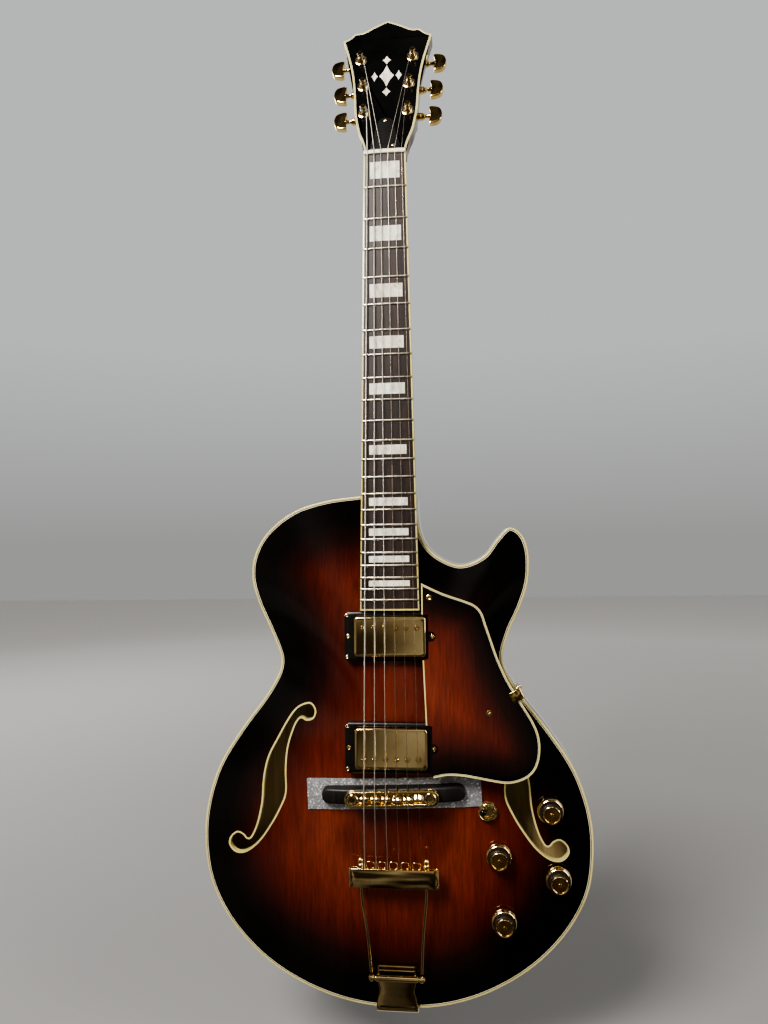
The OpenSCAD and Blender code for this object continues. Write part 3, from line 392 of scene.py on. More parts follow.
def round_rect(w, h, r, steps=6):
    made = []
    for cx, cy, start in ((1, 1, 0), (-1, 1, 90), (-1, -1, 180), (1, -1, 270)):
        for k in range(steps + 1):
            a = radians(start + 90 * k / steps)
            made.append((cx * (w / 2 - r) + r * cos(a), cy * (h / 2 - r) + r * sin(a)))
    return made


def flat_bar(x0, x1, z0, z1):
    return [(x0, z0), (x1, z0), (x1, z1), (x0, z1)]


def circle(r, n=48, phase=0.0):
    return [(r * cos(2 * pi * (k + phase) / n), r * sin(2 * pi * (k + phase) / n)) for k in range(n)]


def new_piece(name, verts, faces, material, body="root", base=None, sharp=35, cad=None, slot=None):
    """A mesh from millimetres in the base frame, which rides on a body."""
    mesh = bpy.data.meshes.new(name)
    at = base or Matrix.Identity(4)
    mesh.from_pydata([at @ Vector(tuple(float(c) for c in v)) * MM for v in verts], [], faces)
    made = bpy.data.objects.new(name, mesh)
    bpy.context.scene.collection.objects.link(made)
    work = bmesh.new()
    work.from_mesh(mesh)
    bmesh.ops.remove_doubles(work, verts=work.verts, dist=1e-7)
    bmesh.ops.recalc_face_normals(work, faces=work.faces)
    work.to_mesh(mesh)
    work.free()
    mesh.shade_smooth()
    mesh.set_sharp_from_angle(angle=radians(sharp))
    mesh.materials.append(material)
    if body:
        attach(made, body)
    if cad:
        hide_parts(cad)
    return made


def bevel(piece, width, segments=3, angle=40):
    """Rounds the piece's sharp edges; width in millimetres."""
    cut = piece.modifiers.new("round", "BEVEL")
    cut.width = width * MM
    cut.segments = segments
    cut.limit_method = "ANGLE"
    cut.angle_limit = radians(angle)
    bpy.context.view_layer.objects.active = piece
    with bpy.context.temp_override(object=piece, active_object=piece, selected_objects=[piece]):
        bpy.ops.object.modifier_apply(modifier=cut.name)
    piece.data.shade_smooth()
    piece.data.set_sharp_from_angle(angle=radians(angle))


class Shape:
    """Collects solids in millimetres for one piece."""

    def __init__(self):
        self.verts = []
        self.faces = []

    def add(self, verts, faces, at=None):
        base = len(self.verts)
        at = at or Matrix.Identity(4)
        self.verts += [at @ Vector(tuple(float(c) for c in v)) for v in verts]
        self.faces += [tuple(base + i for i in f) for f in faces]
        return self

    def prism(self, outline, y0, y1, at=None):
        """Outline in x and z, solid from y0 back to y1."""
        n = len(outline)
        verts = [(p[0], y0, p[1]) for p in outline] + [(p[0], y1, p[1]) for p in outline]
        walls = [(i, (i + 1) % n, n + (i + 1) % n, n + i) for i in range(n)]
        return self.add(verts, walls + [tuple(range(n)), tuple(range(2 * n - 1, n - 1, -1))], at)

    def loft(self, rings, caps=True, at=None, closed=False):
        """Skin over rings of equally many points."""
        n = len(rings[0])
        count = len(rings)
        verts = [v for ring in rings for v in ring]
        last = count if closed else count - 1
        faces = [(r * n + i, r * n + (i + 1) % n, ((r + 1) % count) * n + (i + 1) % n,
            ((r + 1) % count) * n + i) for r in range(last) for i in range(n)]
        if caps and not closed:
            faces += [tuple(range(n)), tuple(range(count * n - 1, (count - 1) * n - 1, -1))]
        return self.add(verts, faces, at)

    def lathe(self, section, n=64, at=None):
        """Turned solid: section of (radius, height), about the axis z."""
        return self.loft([[(*p, h) for p in circle(r, n)] for r, h in section], at=at)

    def nut(self, section, at):
        """Hexagon: section of (radius, height), about the axis z."""
        return self.lathe(section, 6, at)

    def tube(self, path, radius, n=12):
        """Round rod along a path; radius may be one number or one for each point."""
        p = [Vector(tuple(float(c) for c in q)) for q in path]
        radii = radius if isinstance(radius, (list, tuple)) else [radius] * len(p)
        rings = []
        side = None
        for i, q in enumerate(p):
            way = (p[min(i + 1, len(p) - 1)] - p[max(i - 1, 0)]).normalized()
            if side is None:
                side = way.orthogonal().normalized()
            side = (side - way * side.dot(way)).normalized()
            other = way.cross(side)
            rings.append([q + radii[i] * (side * cos(2 * pi * k / n) + other * sin(2 * pi * k / n))
                for k in range(n)])
        return self.loft(rings)

    def band(self, outer, inner, y0, y1, closed=True):
        """Flat band between two outlines, from y0 back to y1."""
        rings = [[(k[0], y, k[1]) for k, y in ((a, y0), (b, y0), (b, y1), (a, y1))] for a, b in zip(outer,
            inner)]
        return self.loft(rings, not closed, closed=closed)

    def ring_band(self, outer, inner, height, depth):
        """Closed band between two outlines; its front face lies at a height given for x and z."""
        rings = [[(k[0], height(*k) + y, k[1]) for k, y in ((a, 0), (b, 0), (b, depth), (a, depth))]
            for a, b in zip(outer, inner)]
        return self.loft(rings, False, closed=True)

    def slab(self, loops, y0, y1):
        """Flat plate with holes, the loops in x and z, from y0 back to y1."""
        return self.add(*sheet(loops, 0, lambda x, z: y0, lambda x, z: y1))

    def piece(self, name, material, **more):
        return new_piece(name, self.verts, self.faces, material, **more)


def shift(x=0.0, y=0.0, z=0.0):
    return Matrix.Translation((x, y, z))


def turn(axis, degrees):
    return Matrix.Rotation(radians(degrees), 4, axis)


# A turned solid stands along z; this lays it along -y, so its heights run towards the front
FACING = turn("X", 90)

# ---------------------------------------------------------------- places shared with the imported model

NECK_PITCH = 2.9
BOARD_TOP = 12.0
HEAD_TILT = 14.0
HEAD_FACE_Y = 5.0
NECK = shift(y=-BOARD_TOP) @ turn("X", -NECK_PITCH)
HEAD = NECK @ shift(y=HEAD_FACE_Y) @ turn("X", -HEAD_TILT)
SCALE = 628.0
BOARD_LEN = 462.0
BOARD_T = 6.0
CROWN_R = 305.0
HEEL_Z = -349.0
RIM_FRONT = -15.7
RIM_BACK = 29.3
PLATE_T = 5.0
TOP_ARCH = 13.0
BACK_ARCH = 10.0
BIND_W = 2.0
LINE_W = 0.4
ARCH_CENTRE = np.array([10.0, -580.0])

BODY_POINTS = [(-29, -349), (-64, -353), (-97, -363), (-124, -383), (-138, -406), (-141, -430),
    (-134, -456), (-121, -485), (-112, -514), (-125, -543), (-153, -580), (-177, -618), (-190, -660),
    (-192, -700), (-184, -738), (-163, -775), (-128, -809), (-82, -834), (-30, -847), (30, -847),
    (80, -834), (126, -808), (161, -774), (183, -736), (190, -698), (188, -659), (175, -618), (151, -580),
    (123, -543), (108, -514), (114, -486), (126, -460), (134, -435), (135, -408), (129, -390), (117, -383),
    (105, -394), (91, -411), (68, -419), (45, -409), (32, -393), (27.5, -373), (27, -352)]
OUTLINE = open_curve(BODY_POINTS, 6)
PLATE_EDGE = inset(OUTLINE, BIND_W)
F_POINTS = [(85, -553), (96, -558), (105, -569), (116, -588), (126, -607), (131, -628), (133, -652),
    (138, -673), (144, -686), (148, -688), (152, -684), (159, -682), (166, -688), (167, -696), (160, -703),
    (149, -702), (136, -692), (124, -676), (114, -659), (107, -642), (107, -620), (105, -598), (99, -579),
    (94, -570), (90, -569), (86, -571), (79, -569), (76, -562), (79, -555)]
F_BIND_W = 1.5
F_OUTER = closed_curve(F_POINTS, 4)
KNOB_AT = {"neck_volume_knob": (150, -654), "bridge_volume_knob": (100, -697),
           "neck_tone_knob": (156, -719), "bridge_tone_knob": (104, -760)}
SWITCH_AT = (90.5, -655)
SWITCH_LEAN = -18
POST_AT = [(-23, 57.5), (-24.3, 94), (-28, 131), (28, 131), (24.3, 94), (23, 57.5)]
PICKUP_Z = {"neck": -487.0, "bridge": -593.0}


def fret_z(n):
    return -SCALE * (1 - 2 ** (-n / 12))


NUT_W, WIDTH_AT_20 = 43.0, 57.0
TAPER = (WIDTH_AT_20 - NUT_W) / 2 / -fret_z(20)


def half_board(z):
    return NUT_W / 2 - TAPER * z


def crown_y(x):
    return CROWN_R - math.sqrt(CROWN_R**2 - x * x)


def in_row(at, p):
    """A point of a tilted frame, in the row frame."""
    q = at @ Vector(tuple(float(c) for c in p))
    return np.array([q.x, q.y, q.z])


class Arch:
    """The rise of the arched plates as a share of their height, smoothed over the whole outline."""

    step = 3.0
    passes = 60

    def __init__(self):
        step = self.step
        edge = np.array(PLATE_EDGE)
        self.x0, self.z0 = edge.min(0) - 2 * step
        nx, nz = (np.ceil((edge.max(0) - edge.min(0)) / step) + 5).astype(int)
        gx, gz = np.meshgrid(self.x0 + step * np.arange(nx), self.z0 + step * np.arange(nz), indexing="ij")
        share = self.share(gx, gz, edge)
        s = np.clip(1 - share, 0, None) ** 1.6
        rise = 1 - (1 - s) ** 2
        inside = share < 1
        for _ in range(self.passes):
            around = sum(np.roll(rise, d, axis) for d, axis in ((1, 0), (-1, 0), (1, 1), (-1, 1))) / 4
            rise = np.where(inside, around, 0)
        self.rise = rise * (1.0 / rise.max())

    @staticmethod
    def share(gx, gz, edge):
        """How far each point lies on the way from the arch's centre to the edge."""
        dx, dz = gx - ARCH_CENTRE[0], gz - ARCH_CENTRE[1]
        best = np.full(gx.shape, 99.0)
        for i in range(len(edge)):
            a = edge[i] - ARCH_CENTRE
            e = edge[(i + 1) % len(edge)] - edge[i]
            den = dx * e[1] - dz * e[0]
            den = np.where(np.abs(den) < 1e-9, 1e-9, den)
            s = (a[0] * e[1] - a[1] * e[0]) / den
            u = (a[0] * dz - a[1] * dx) / den
            hit = (s > 0) & (u >= 0) & (u <= 1)
            best = np.where(hit, np.minimum(best, 1 / np.where(s > 0, s, 1)), best)
        return np.where(best > 90, 0, best)

    def at(self, x, z):
        """Bicubic value, so that reflections run smoothly."""
        fx, fz = (x - self.x0) / self.step, (z - self.z0) / self.step
        i = int(min(max(math.floor(fx), 1), self.rise.shape[0] - 3))
        j = int(min(max(math.floor(fz), 1), self.rise.shape[1] - 3))
        tx, tz = min(max(fx - i, 0), 1), min(max(fz - j, 0), 1)
        rows = [curve_at(*(self.rise[i + k, j + m] for m in (-1, 0, 1, 2)), tz) for k in (-1, 0, 1, 2)]
        return float(curve_at(*rows, tx))


ARCH = Arch()


def top_y(x, z):
    return RIM_FRONT - TOP_ARCH * ARCH.at(x, z)


def back_y(x, z):
    return RIM_BACK + BACK_ARCH * ARCH.at(x, z)

# ---------------------------------------------------------------- finishes

SUNBURST = lacquer("sunburst_lacquer", [(0, (0.002, 0.0015, 0.001)), (24, (0.004, 0.002, 0.0015)),
    (44, (0.026, 0.005, 0.003)), (64, (0.10, 0.014, 0.007)), (92, (0.19, 0.030, 0.013)),
    (125, (0.245, 0.048, 0.022)), (165, (0.16, 0.028, 0.013))], grain=0.4)
DARK_LACQUER = lacquer("red_brown_lacquer", [(0, (0.012, 0.004, 0.003)), (25, (0.05, 0.012, 0.006)),
    (70, (0.11, 0.022, 0.009)), (120, (0.15, 0.03, 0.01))], grain=0.45)
NECK_LACQUER = lacquer("neck_lacquer", [(0, (0.10, 0.030, 0.012)), (60, (0.13, 0.04, 0.015))], grain=0.5)
CREAM = celluloid("cream_binding")
SPRUCE = open_wood("bare_spruce", (0.66, 0.47, 0.21), (0.84, 0.66, 0.36), 70.0, 0.6, 0.2)
ROSEWOOD = open_wood("rosewood_board", (0.012, 0.007, 0.005), (0.045, 0.024, 0.016), 160.0, 0.38, 0.6)
EBONY = open_wood("ebony", (0.008, 0.007, 0.006), (0.022, 0.018, 0.015), 150.0, 0.35, 0.4)
PEARL = pearl("pearl_inlay")
BONE = moulding("bone_nut", (0.66, 0.60, 0.45), 0.25, 0.4)
BLACK_FACE = moulding("gloss_black_face", (0.004, 0.004, 0.004), 0.06, 0.14, 500.0, 0.00001)
GREY_COVER = moulding("dark_grey_cover", (0.012, 0.012, 0.012), 0.2, 0.34)
BLACK_PLASTIC = moulding("black_moulding", (0.007, 0.006, 0.005), 0.2, 0.4)
GLOSS_BLACK = moulding("gloss_black_tip", (0.006, 0.004, 0.003), 0.04, 0.1, 500.0, 0.00001)
KNOB_BLACK = moulding("knob_grip", (0.016, 0.010, 0.006), 0.25, 0.42)
GOLD = metal("gold_plate", (0.86, 0.66, 0.30), 0.12)
GOLD_BRIGHT = metal("gold_plate_polished", (0.90, 0.72, 0.40), 0.05, (0.8, 0.75, 0.7), 0.2)
AMBER_GOLD = metal("amber_gold_dish", (0.74, 0.46, 0.16), 0.24)
NICKEL_SILVER = metal("nickel_silver_fret", (0.82, 0.76, 0.62), 0.30)
STEEL = metal("plain_steel", (0.56, 0.55, 0.52), 0.25)
STRING_STEEL = metal("string_steel", (0.74, 0.66, 0.60), 0.32, (0.7, 0.65, 0.6))
WOUND = wound_steel()
POT_METAL = metal("pot_metal", (0.50, 0.49, 0.46), 0.35)
FOAM = foam_material()
LINE_BLACK = moulding("black_line", (0.006, 0.005, 0.004), 0.2, 0.4)
LINE_WHITE = moulding("white_line", (0.70, 0.66, 0.52), 0.2, 0.4)

# ---------------------------------------------------------------- body


def rim_distance(x, z, edge=None):
    """Distance from a point to the body's outline."""
    edge = OUTLINE_ARRAY if edge is None else edge
    a, b = edge, np.roll(edge, -1, 0)
    p = np.array([x, z])
    ab = b - a
    t = np.clip(((p - a) * ab).sum(1) / (ab * ab).sum(1), 0, 1)
    return float(np.sqrt((((a + ab * t[:, None]) - p) ** 2).sum(1).min()))


OUTLINE_ARRAY = np.array(OUTLINE)


def paint_rim(piece, measure):
    """Stores the distance from the rim in millimetres on every point."""
    values = piece.data.attributes.new("rim", "FLOAT", "POINT")
    for i, v in enumerate(piece.data.vertices):
        values.data[i].value = measure(v.co / MM)
    return piece


def inside_loop(x, z, loop):
    a, b = loop, np.roll(loop, -1, 0)
    span = (a[:, 1] > z) != (b[:, 1] > z)
    with np.errstate(divide="ignore", invalid="ignore"):
        cross = a[:, 0] + (z - a[:, 1]) / (b[:, 1] - a[:, 1]) * (b[:, 0] - a[:, 0])
    return bool((span & (cross > x)).sum() % 2)


def in_sheet(x, z, loops):
    """Whether a point lies in the first loop and out of the others."""
    return inside_loop(x, z, loops[0]) and not any(inside_loop(x, z, loop) for loop in loops[1:])


def fill_points(loops, step):
    """Even points inside the first loop and clear of the others."""
    low, high = loops[0].min(0), loops[0].max(0)
    made = []
    row = 0
    z = low[1] + step / 2
    while z < high[1]:
        x = low[0] + step / 2 + (step / 2 if row % 2 else 0)
        while x < high[0]:
            if in_sheet(x, z, loops) and min(rim_distance(x, z, loop) for loop in loops) > 0.45 * step:
                made.append((x, z))
            x += step
        z += step * 0.87
        row += 1
    return made


def sheet(loops, step, front, back):
    """Slab with holes: triangles between the loops, closed from the skin front to the skin back."""
    loops = [np.array(loop, float) for loop in loops]
    points, edges = [], []
    for loop in loops:
        base = len(points)
        points += [Vector(p) for p in loop.tolist()]
        edges += [(base + i, base + (i + 1) % len(loop)) for i in range(len(loop))]
    points += [Vector(p) for p in (fill_points(loops, step) if step else [])]
    flat, _, tris, _, _, _ = geometry.delaunay_2d_cdt(points, edges, [], 1, 1e-5)
    kept = [tuple(t) for t in tris if in_sheet(*(sum((flat[i] for i in t), Vector((0, 0))) / 3), loops)]
    count = len(flat)
    verts = [(p.x, skin(p.x, p.y), p.y) for skin in (front, back) for p in flat]
    pairs = dict.fromkeys((a, b) for t in kept for a, b in zip(t, t[1:] + t[:1]))
    walls = [(b, a, count + a, count + b) for a, b in pairs if (b, a) not in pairs]
    return verts, kept + [tuple(count + i for i in reversed(t)) for t in kept] + walls


def body_rim(co):
    return rim_distance(co.x, co.z)


def plate(name, surface, thick, holes, material, node_name, step=6.0, edge=PLATE_EDGE, measure=body_rim,
        base=None):
    """Carved plate: a fine triangle skin on the arch, the same skin inside, and walls between."""
    solid = sheet([edge, *holes], step, surface, lambda x, z: surface(x, z) + thick)
    paint_rim(new_piece(name, *solid, material, base=base, cad=node_name), measure)


def build_top():
    holes = [F_OUTER, mirrored(F_OUTER)]
    for kind in PICKUP_Z:
        height = in_row(NECK, (0, 10, PICKUP_Z[kind]))[2]
        holes.append([(x, height + z) for x, z in round_rect(74, 41, 4, 5)])
    holes += [[(x + 4.8 * cos(a), z + 4.8 * sin(a)) for a in np.linspace(0, 2 * pi, 20)[:-1]]
        for x, z in KNOB_AT.values()]
    plate("carved_top", top_y, PLATE_T, holes, SUNBURST, "top_plate")


def build_back():
    plate("carved_back", lambda x, z: back_y(x, z) - PLATE_T, PLATE_T, [], DARK_LACQUER, "back_plate", 8.0)


def outline_band(name, y0, y1, into, material, cad=None, r=0.4):
    """Closed band along the body's outline, into millimetres wide, its outer edges rounded by r."""
    rings = []
    for p, q in zip(OUTLINE, inset(OUTLINE, into)):
        way = (q - p) / np.hypot(*(q - p))
        s, c = p + way * r, p + way * r * 0.3
        rings.append([(k[0], y, k[1]) for k, y in ((s, y0), (q, y0), (q, y1), (s, y1), (c, y1 - r * 0.3),
            (p, y1 - r), (p, y0 + r), (c, y0 + r * 0.3))])
    return Shape().loft(rings, False, closed=True).piece(name, material, cad=cad, sharp=50)


def build_rims():
    side = outline_band("bent_sides", RIM_FRONT + PLATE_T + 0.8, RIM_BACK - PLATE_T - 0.8, 4.5,
        DARK_LACQUER, "sides", 0.2)
    paint_rim(side, lambda co: 6 + 0.9 * min(co.y - RIM_FRONT, RIM_BACK - co.y))
    edges = (("front", RIM_FRONT, RIM_FRONT + PLATE_T, "body_bindings"), ("back", RIM_BACK - PLATE_T,
        RIM_BACK, None))
    for name, y0, y1, stands in edges:
        outline_band(name + "_edge_binding", y0, y1, BIND_W + 0.3, CREAM, stands, 0.6)
        for k, (kind, material) in enumerate((("black", LINE_BLACK), ("white", LINE_WHITE))):
            # Between the binding and the side
            low, high = LINE_W * k, LINE_W * (k + 1)
            a, b = (y1 + low, y1 + high) if name == "front" else (y0 - high, y0 - low)
            outline_band(f"{name}_side_line_{kind}", a, b, 3, material, None, 0.04)
            # The same on the face, inside the binding
            a, b = (inset(OUTLINE, BIND_W + 0.2 + 0.45 * j) for j in (k, k + 1))
            skin, lift = (top_y, 0.05) if name == "front" else (back_y, 0.95)
            face = Shape().ring_band(a, b, lambda x, z: skin(x, z) - lift, 1.0)
            face.piece(f"{name}_face_line_{kind}", material, sharp=60)


def build_sound_holes():
    for side, loop in (("treble", F_OUTER), ("bass", mirrored(F_OUTER))):
        inner, outer = inset(loop, 0.15), inset(loop, -F_BIND_W)
        bound = Shape().ring_band(inner, outer, lambda x, z: top_y(x, z) - 0.12, PLATE_T + 0.6)
        stands = "f_hole_bindings" if side == "treble" else None
        bound.piece(f"{side}_sound_hole_binding", CREAM, cad=stands, sharp=50)


# ---------------------------------------------------------------- neck and headstock

NECK_FIRST, NECK_TWELFTH = 15.0, 17.5
NECK_STEPS = 28
SWEEP_Z, SQUEEZE_Z = -295, -285
HEEL_DEPTH = (RIM_BACK + BOARD_TOP - HEEL_Z * tan(radians(NECK_PITCH))) * cos(
    radians(NECK_PITCH)) - BOARD_T - 1
BOARD_BIND = 1.6
HEAD_SIDE = [(21.5, 4), (22.3, 12), (25, 22), (29, 34), (33, 58), (34.5, 82), (36.5, 105), (40, 126),
    (45, 147), (48.5, 161)]
HEAD_TOP = [(48.5, 161), (41.5, 164.5), (35, 170.5), (26.5, 171.5), (14.5, 178.5), (0, 186)]
HEAD_OUTLINE = both_halves(open_curve(HEAD_SIDE, 6) + open_curve(HEAD_TOP, 6)[1:])
HEAD_T = 15.0
FRETS = 22
INLAY_FRETS = [1, 3, 5, 7, 9, 12, 15, 17, 19, 21]
ORNAMENT = [(0, 107, 8, 15), (0, 129, 4.5, 6), (0, 85, 4.5, 6), (-13, 107, 3.5, 7), (13, 107, 3.5, 7)]
COVER_HALF = [(15.5, 7.5), (14.8, 15), (11.5, 27), (9.4, 37), (6.5, 45), (0, 48.5)]


def neck_depth(z):
    """Depth of the neck behind the board: a slow taper, then the heel sweeps down to the back."""
    plain = NECK_FIRST + (NECK_TWELFTH - NECK_FIRST) * min(1, max(0, z / fret_z(12)))
    sweep = max(0, (SWEEP_Z - z) / (SWEEP_Z - HEEL_Z))
    return plain + (HEEL_DEPTH - plain) * sweep**2.4


def neck_ring(z):
    """Half-round section of the neck behind the board."""
    full = half_board(min(z, 0)) - 0.05
    squeeze = 0.25 * min(1, max(0, (SQUEEZE_Z - z) / 25))
    ring = []
    for i in range(NECK_STEPS + 1):
        a = pi * i / NECK_STEPS
        ring.append((full * cos(a) * (1 - squeeze * sin(a) ** 2), BOARD_T + neck_depth(z) * sin(a) ** 0.8,
            z))
    return ring


def build_neck():
    stations = [-z for z in np.linspace(-8, 285, 50)] + [-z for z in np.linspace(287, 349, 40)]
    shape = Shape().loft([neck_ring(z) for z in stations])
    # Tongue under the end of the board, from the heel over the top
    tongue = [(-half_board(HEEL_Z) + 0.3, HEEL_Z + 2), (-half_board(-BOARD_LEN) + 0.3, -BOARD_LEN + 0.5),
        (half_board(-BOARD_LEN) - 0.3, -BOARD_LEN + 0.5), (half_board(HEEL_Z) - 0.3, HEEL_Z + 2)]
    shape.prism(tongue, BOARD_T, 22)
    neck = shape.piece("neck", NECK_LACQUER, base=NECK, cad="neck_shaft", sharp=50)
    paint_rim(neck, lambda co: 40)


def build_headstock():
    # Where the neck's round back runs into the flat headstock
    rings = []
    for t in np.linspace(0, 1, 15):
        ease = t * t * (3 - 2 * t)
        z = 6 + 34 * t
        half = 21.4 + (half_head(z) - 21.4) * ease
        depth = (NECK_FIRST + 1.5) * (1 - ease) + (HEAD_T - 2.8) * ease
        rings.append([(half * math.copysign(abs(cos(a)) ** (1 - 0.75 * ease), cos(a)),
            2.8 + depth * max(sin(a), 0) ** (0.8 - 0.55 * ease), z) for a in np.linspace(0, pi, 29)])
    shape = Shape().loft(rings).prism([p for p in HEAD_OUTLINE if p[1] > 3.9], 2.95, HEAD_T)
    head = shape.piece("headstock_wood", NECK_LACQUER, base=HEAD, cad="headstock", sharp=40)
    paint_rim(head, lambda co: 45)
    face = inset(HEAD_OUTLINE, 1.55)
    veneer = Shape().prism(face, 0, 1.6)
    veneer = veneer.piece("headstock_face", BLACK_FACE, base=HEAD, cad="headstock_veneer")
    bevel(veneer, 0.15, 2)
    veneer.data.set_sharp_from_angle(angle=radians(10))
    bevel(head_band("headstock_edge_binding", HEAD_OUTLINE, face, -0.02, 3.0, CREAM, "headstock_binding"),
        0.3, 3)
    lines = inset(HEAD_OUTLINE, 1.75), inset(HEAD_OUTLINE, 2.05)
    head_band("headstock_face_line", *lines, -0.03, 0.4, LINE_WHITE)
    head_band("headstock_side_line", inset(HEAD_OUTLINE, -0.04), face, 3.0, 3.5, LINE_BLACK)
    ornament = Shape()
    for x, z, w, h in ORNAMENT:
        corners = [(w, 0), (0, h), (-w, 0), (0, -h)]
        outline = []
        for (ax, az), (bx, bz) in zip(corners, corners[1:] + corners[:1]):
            for t in np.arange(8) / 8:
                # Each side bows inwards a little
                pull = 1 - 0.55 * t * (1 - t)
                outline.append((x + (ax + (bx - ax) * t) * pull, z + (az + (bz - az) * t) * pull))
        ornament.prism(outline, -0.04, 0.6)
    ornament.piece("headstock_ornament", PEARL, base=HEAD, cad="headstock_inlay")
    cover = Shape().prism(both_halves(open_curve(COVER_HALF, 8)), -2.2, 0)
    bevel(cover.piece("rod_cover", GREY_COVER, base=HEAD, cad="truss_rod_cover"), 0.6, 3)


def half_head(z):
    """Half width of the headstock at a height."""
    side = [p for p in HEAD_OUTLINE if p[0] > 0]
    return float(np.interp(z, [p[1] for p in side[:60]], [p[0] for p in side[:60]]))


def head_band(name, outer, inner, y0, y1, material, cad=None):
    """Flat closed band between two outlines on the headstock."""
    return Shape().band(outer, inner, y0, y1).piece(name, material, base=HEAD, cad=cad)


def crowned_strip(x0, x1, z0, z1, lift, back, across=12):
    """Slab under the board's crowned surface; x0 and x1 are functions of z."""
    rings = []
    for z in (z0, z1):
        a, b = x0(z), x1(z)
        front = [(a + (b - a) * i / across, crown_y(a + (b - a) * i / across) - lift, z)
            for i in range(across + 1)]
        rings.append(front + [(b, back, z), (a, back, z)])
    return rings


def sided(k, outer, inner):
    """The lower of two edges first: the outer one on the bass side (0), the inner one on the other."""
    return (inner, outer) if k else (outer, inner)


def build_board():
    def edges(inward):
        return (lambda z: -half_board(z) + inward), (lambda z: half_board(z) - inward)

    low, high = edges(BOARD_BIND)
    board = Shape().loft(crowned_strip(low, high, -0.05, -BOARD_LEN + BOARD_BIND, 0, BOARD_T))
    board.piece("board", ROSEWOOD, base=NECK, cad="fretboard", sharp=30)
    # Cream binding down both sides and across the end, with a dark line against the wood
    strips, lines = Shape(), Shape()
    rim, wood, line = edges(0), edges(BOARD_BIND), edges(BOARD_BIND + 0.35)
    for k, (outer, middle, inner) in enumerate(zip(rim, wood, line)):
        strips.loft(crowned_strip(*sided(k, outer, middle), 0, -BOARD_LEN, 0.03, BOARD_T, 3))
        lines.loft(crowned_strip(*sided(k, middle, inner), 0, -BOARD_LEN + BOARD_BIND, 0.04, 1, 2))
    low, high = edges(0)
    strips.loft(crowned_strip(low, high, -BOARD_LEN + BOARD_BIND, -BOARD_LEN, 0.03, BOARD_T))
    bound = strips.piece("board_binding", CREAM, base=NECK, cad="fretboard_binding", sharp=40)
    bevel(bound, 0.25, 2, 60)
    lines.piece("board_line", LINE_BLACK, base=NECK)
    frets = Shape()
    for n in range(1, FRETS + 1):
        z = fret_z(n)
        half = half_board(z) - 0.25
        rings = []
        for x in np.linspace(-half, half, 25):
            # The wire's ends are filed to a slope
            end = min(1.0, (half - abs(x)) / 0.9)
            rings.append([(x, crown_y(x) + 0.15 - 1.25 * sin(a) ** 0.8 * (0.35 + 0.65 * end),
                z + 1.2 * cos(a)) for a in np.linspace(0, pi, 9)])
        frets.loft(rings)
    frets.piece("fret_wires", NICKEL_SILVER, base=NECK, cad="frets", sharp=50)
    blocks = Shape()
    for n in INLAY_FRETS:
        top = fret_z(n - 1)
        gap = top - fret_z(n)
        half = 0.7 * half_board(top)
        low, high = top - 0.75 * gap, top - 0.25 * gap
        blocks.loft(crowned_strip(lambda z: -half, lambda z: half, low, high, 0.05, 1.2))
    blocks.piece("pearl_blocks", PEARL, base=NECK, cad="block_inlays", sharp=30)


NUT_X = [-17.5 + 7 * i for i in range(6)]
STRING_R = [0.58, 0.46, 0.34, 0.22, 0.17, 0.13]


def build_nut():
    """Bone nut with a sloping top and a slot under each string."""
    slots = {round(x + d, 3) for x in NUT_X for d in (-0.9, -0.5, 0, 0.5, 0.9)}
    xs = sorted(set(np.round(np.linspace(-21.4, 21.4, 120), 3)) | slots)
    rings = []
    for x in xs:
        notch = max((1.0 * (1 - ((x - c) / (r + 0.35)) ** 2) for c, r in zip(NUT_X, STRING_R)
            if abs(x - c) < r + 0.35), default=0)
        end = 0.8 * max(0, (abs(x) - 20.4)) ** 2
        top = crown_y(x) - 1.6 + notch + end
        rings.append([(x, BOARD_T, 0.02), (x, top + 0.2, 0.02), (x, top, 0.3), (x, top + 0.15, 2),
            (x, top + 0.9, 4.2), (x, top + 1.3, 4.5), (x, BOARD_T, 4.5)])
    Shape().loft(rings).piece("bone_nut", BONE, base=NECK, cad="nut", sharp=60)

# ---------------------------------------------------------------- tuners

WORM_Y, WORM_Z, CASE_BACK = 19.5, 10.0, 25.0
BUTTON_GAP = 21.5
POST_WAIST = 2.45
TURNS_Y, TURNS_ANGLE = -4.1, 0.3
BUTTON_POINTS = [(0, -10.2), (5.5, -11), (11.5, -8), (14, 0), (11.5, 8), (5.5, 11), (0, 10.2), (1.6, 0)]


def worm_frame(i):
    """Axis of a tuner's worm, running out along z to its button."""
    x, z = POST_AT[i]
    flip = turn("Y", 180) if x < 0 else Matrix.Identity(4)
    return HEAD @ shift(x, WORM_Y, z + WORM_Z) @ flip @ turn("Y", 90)


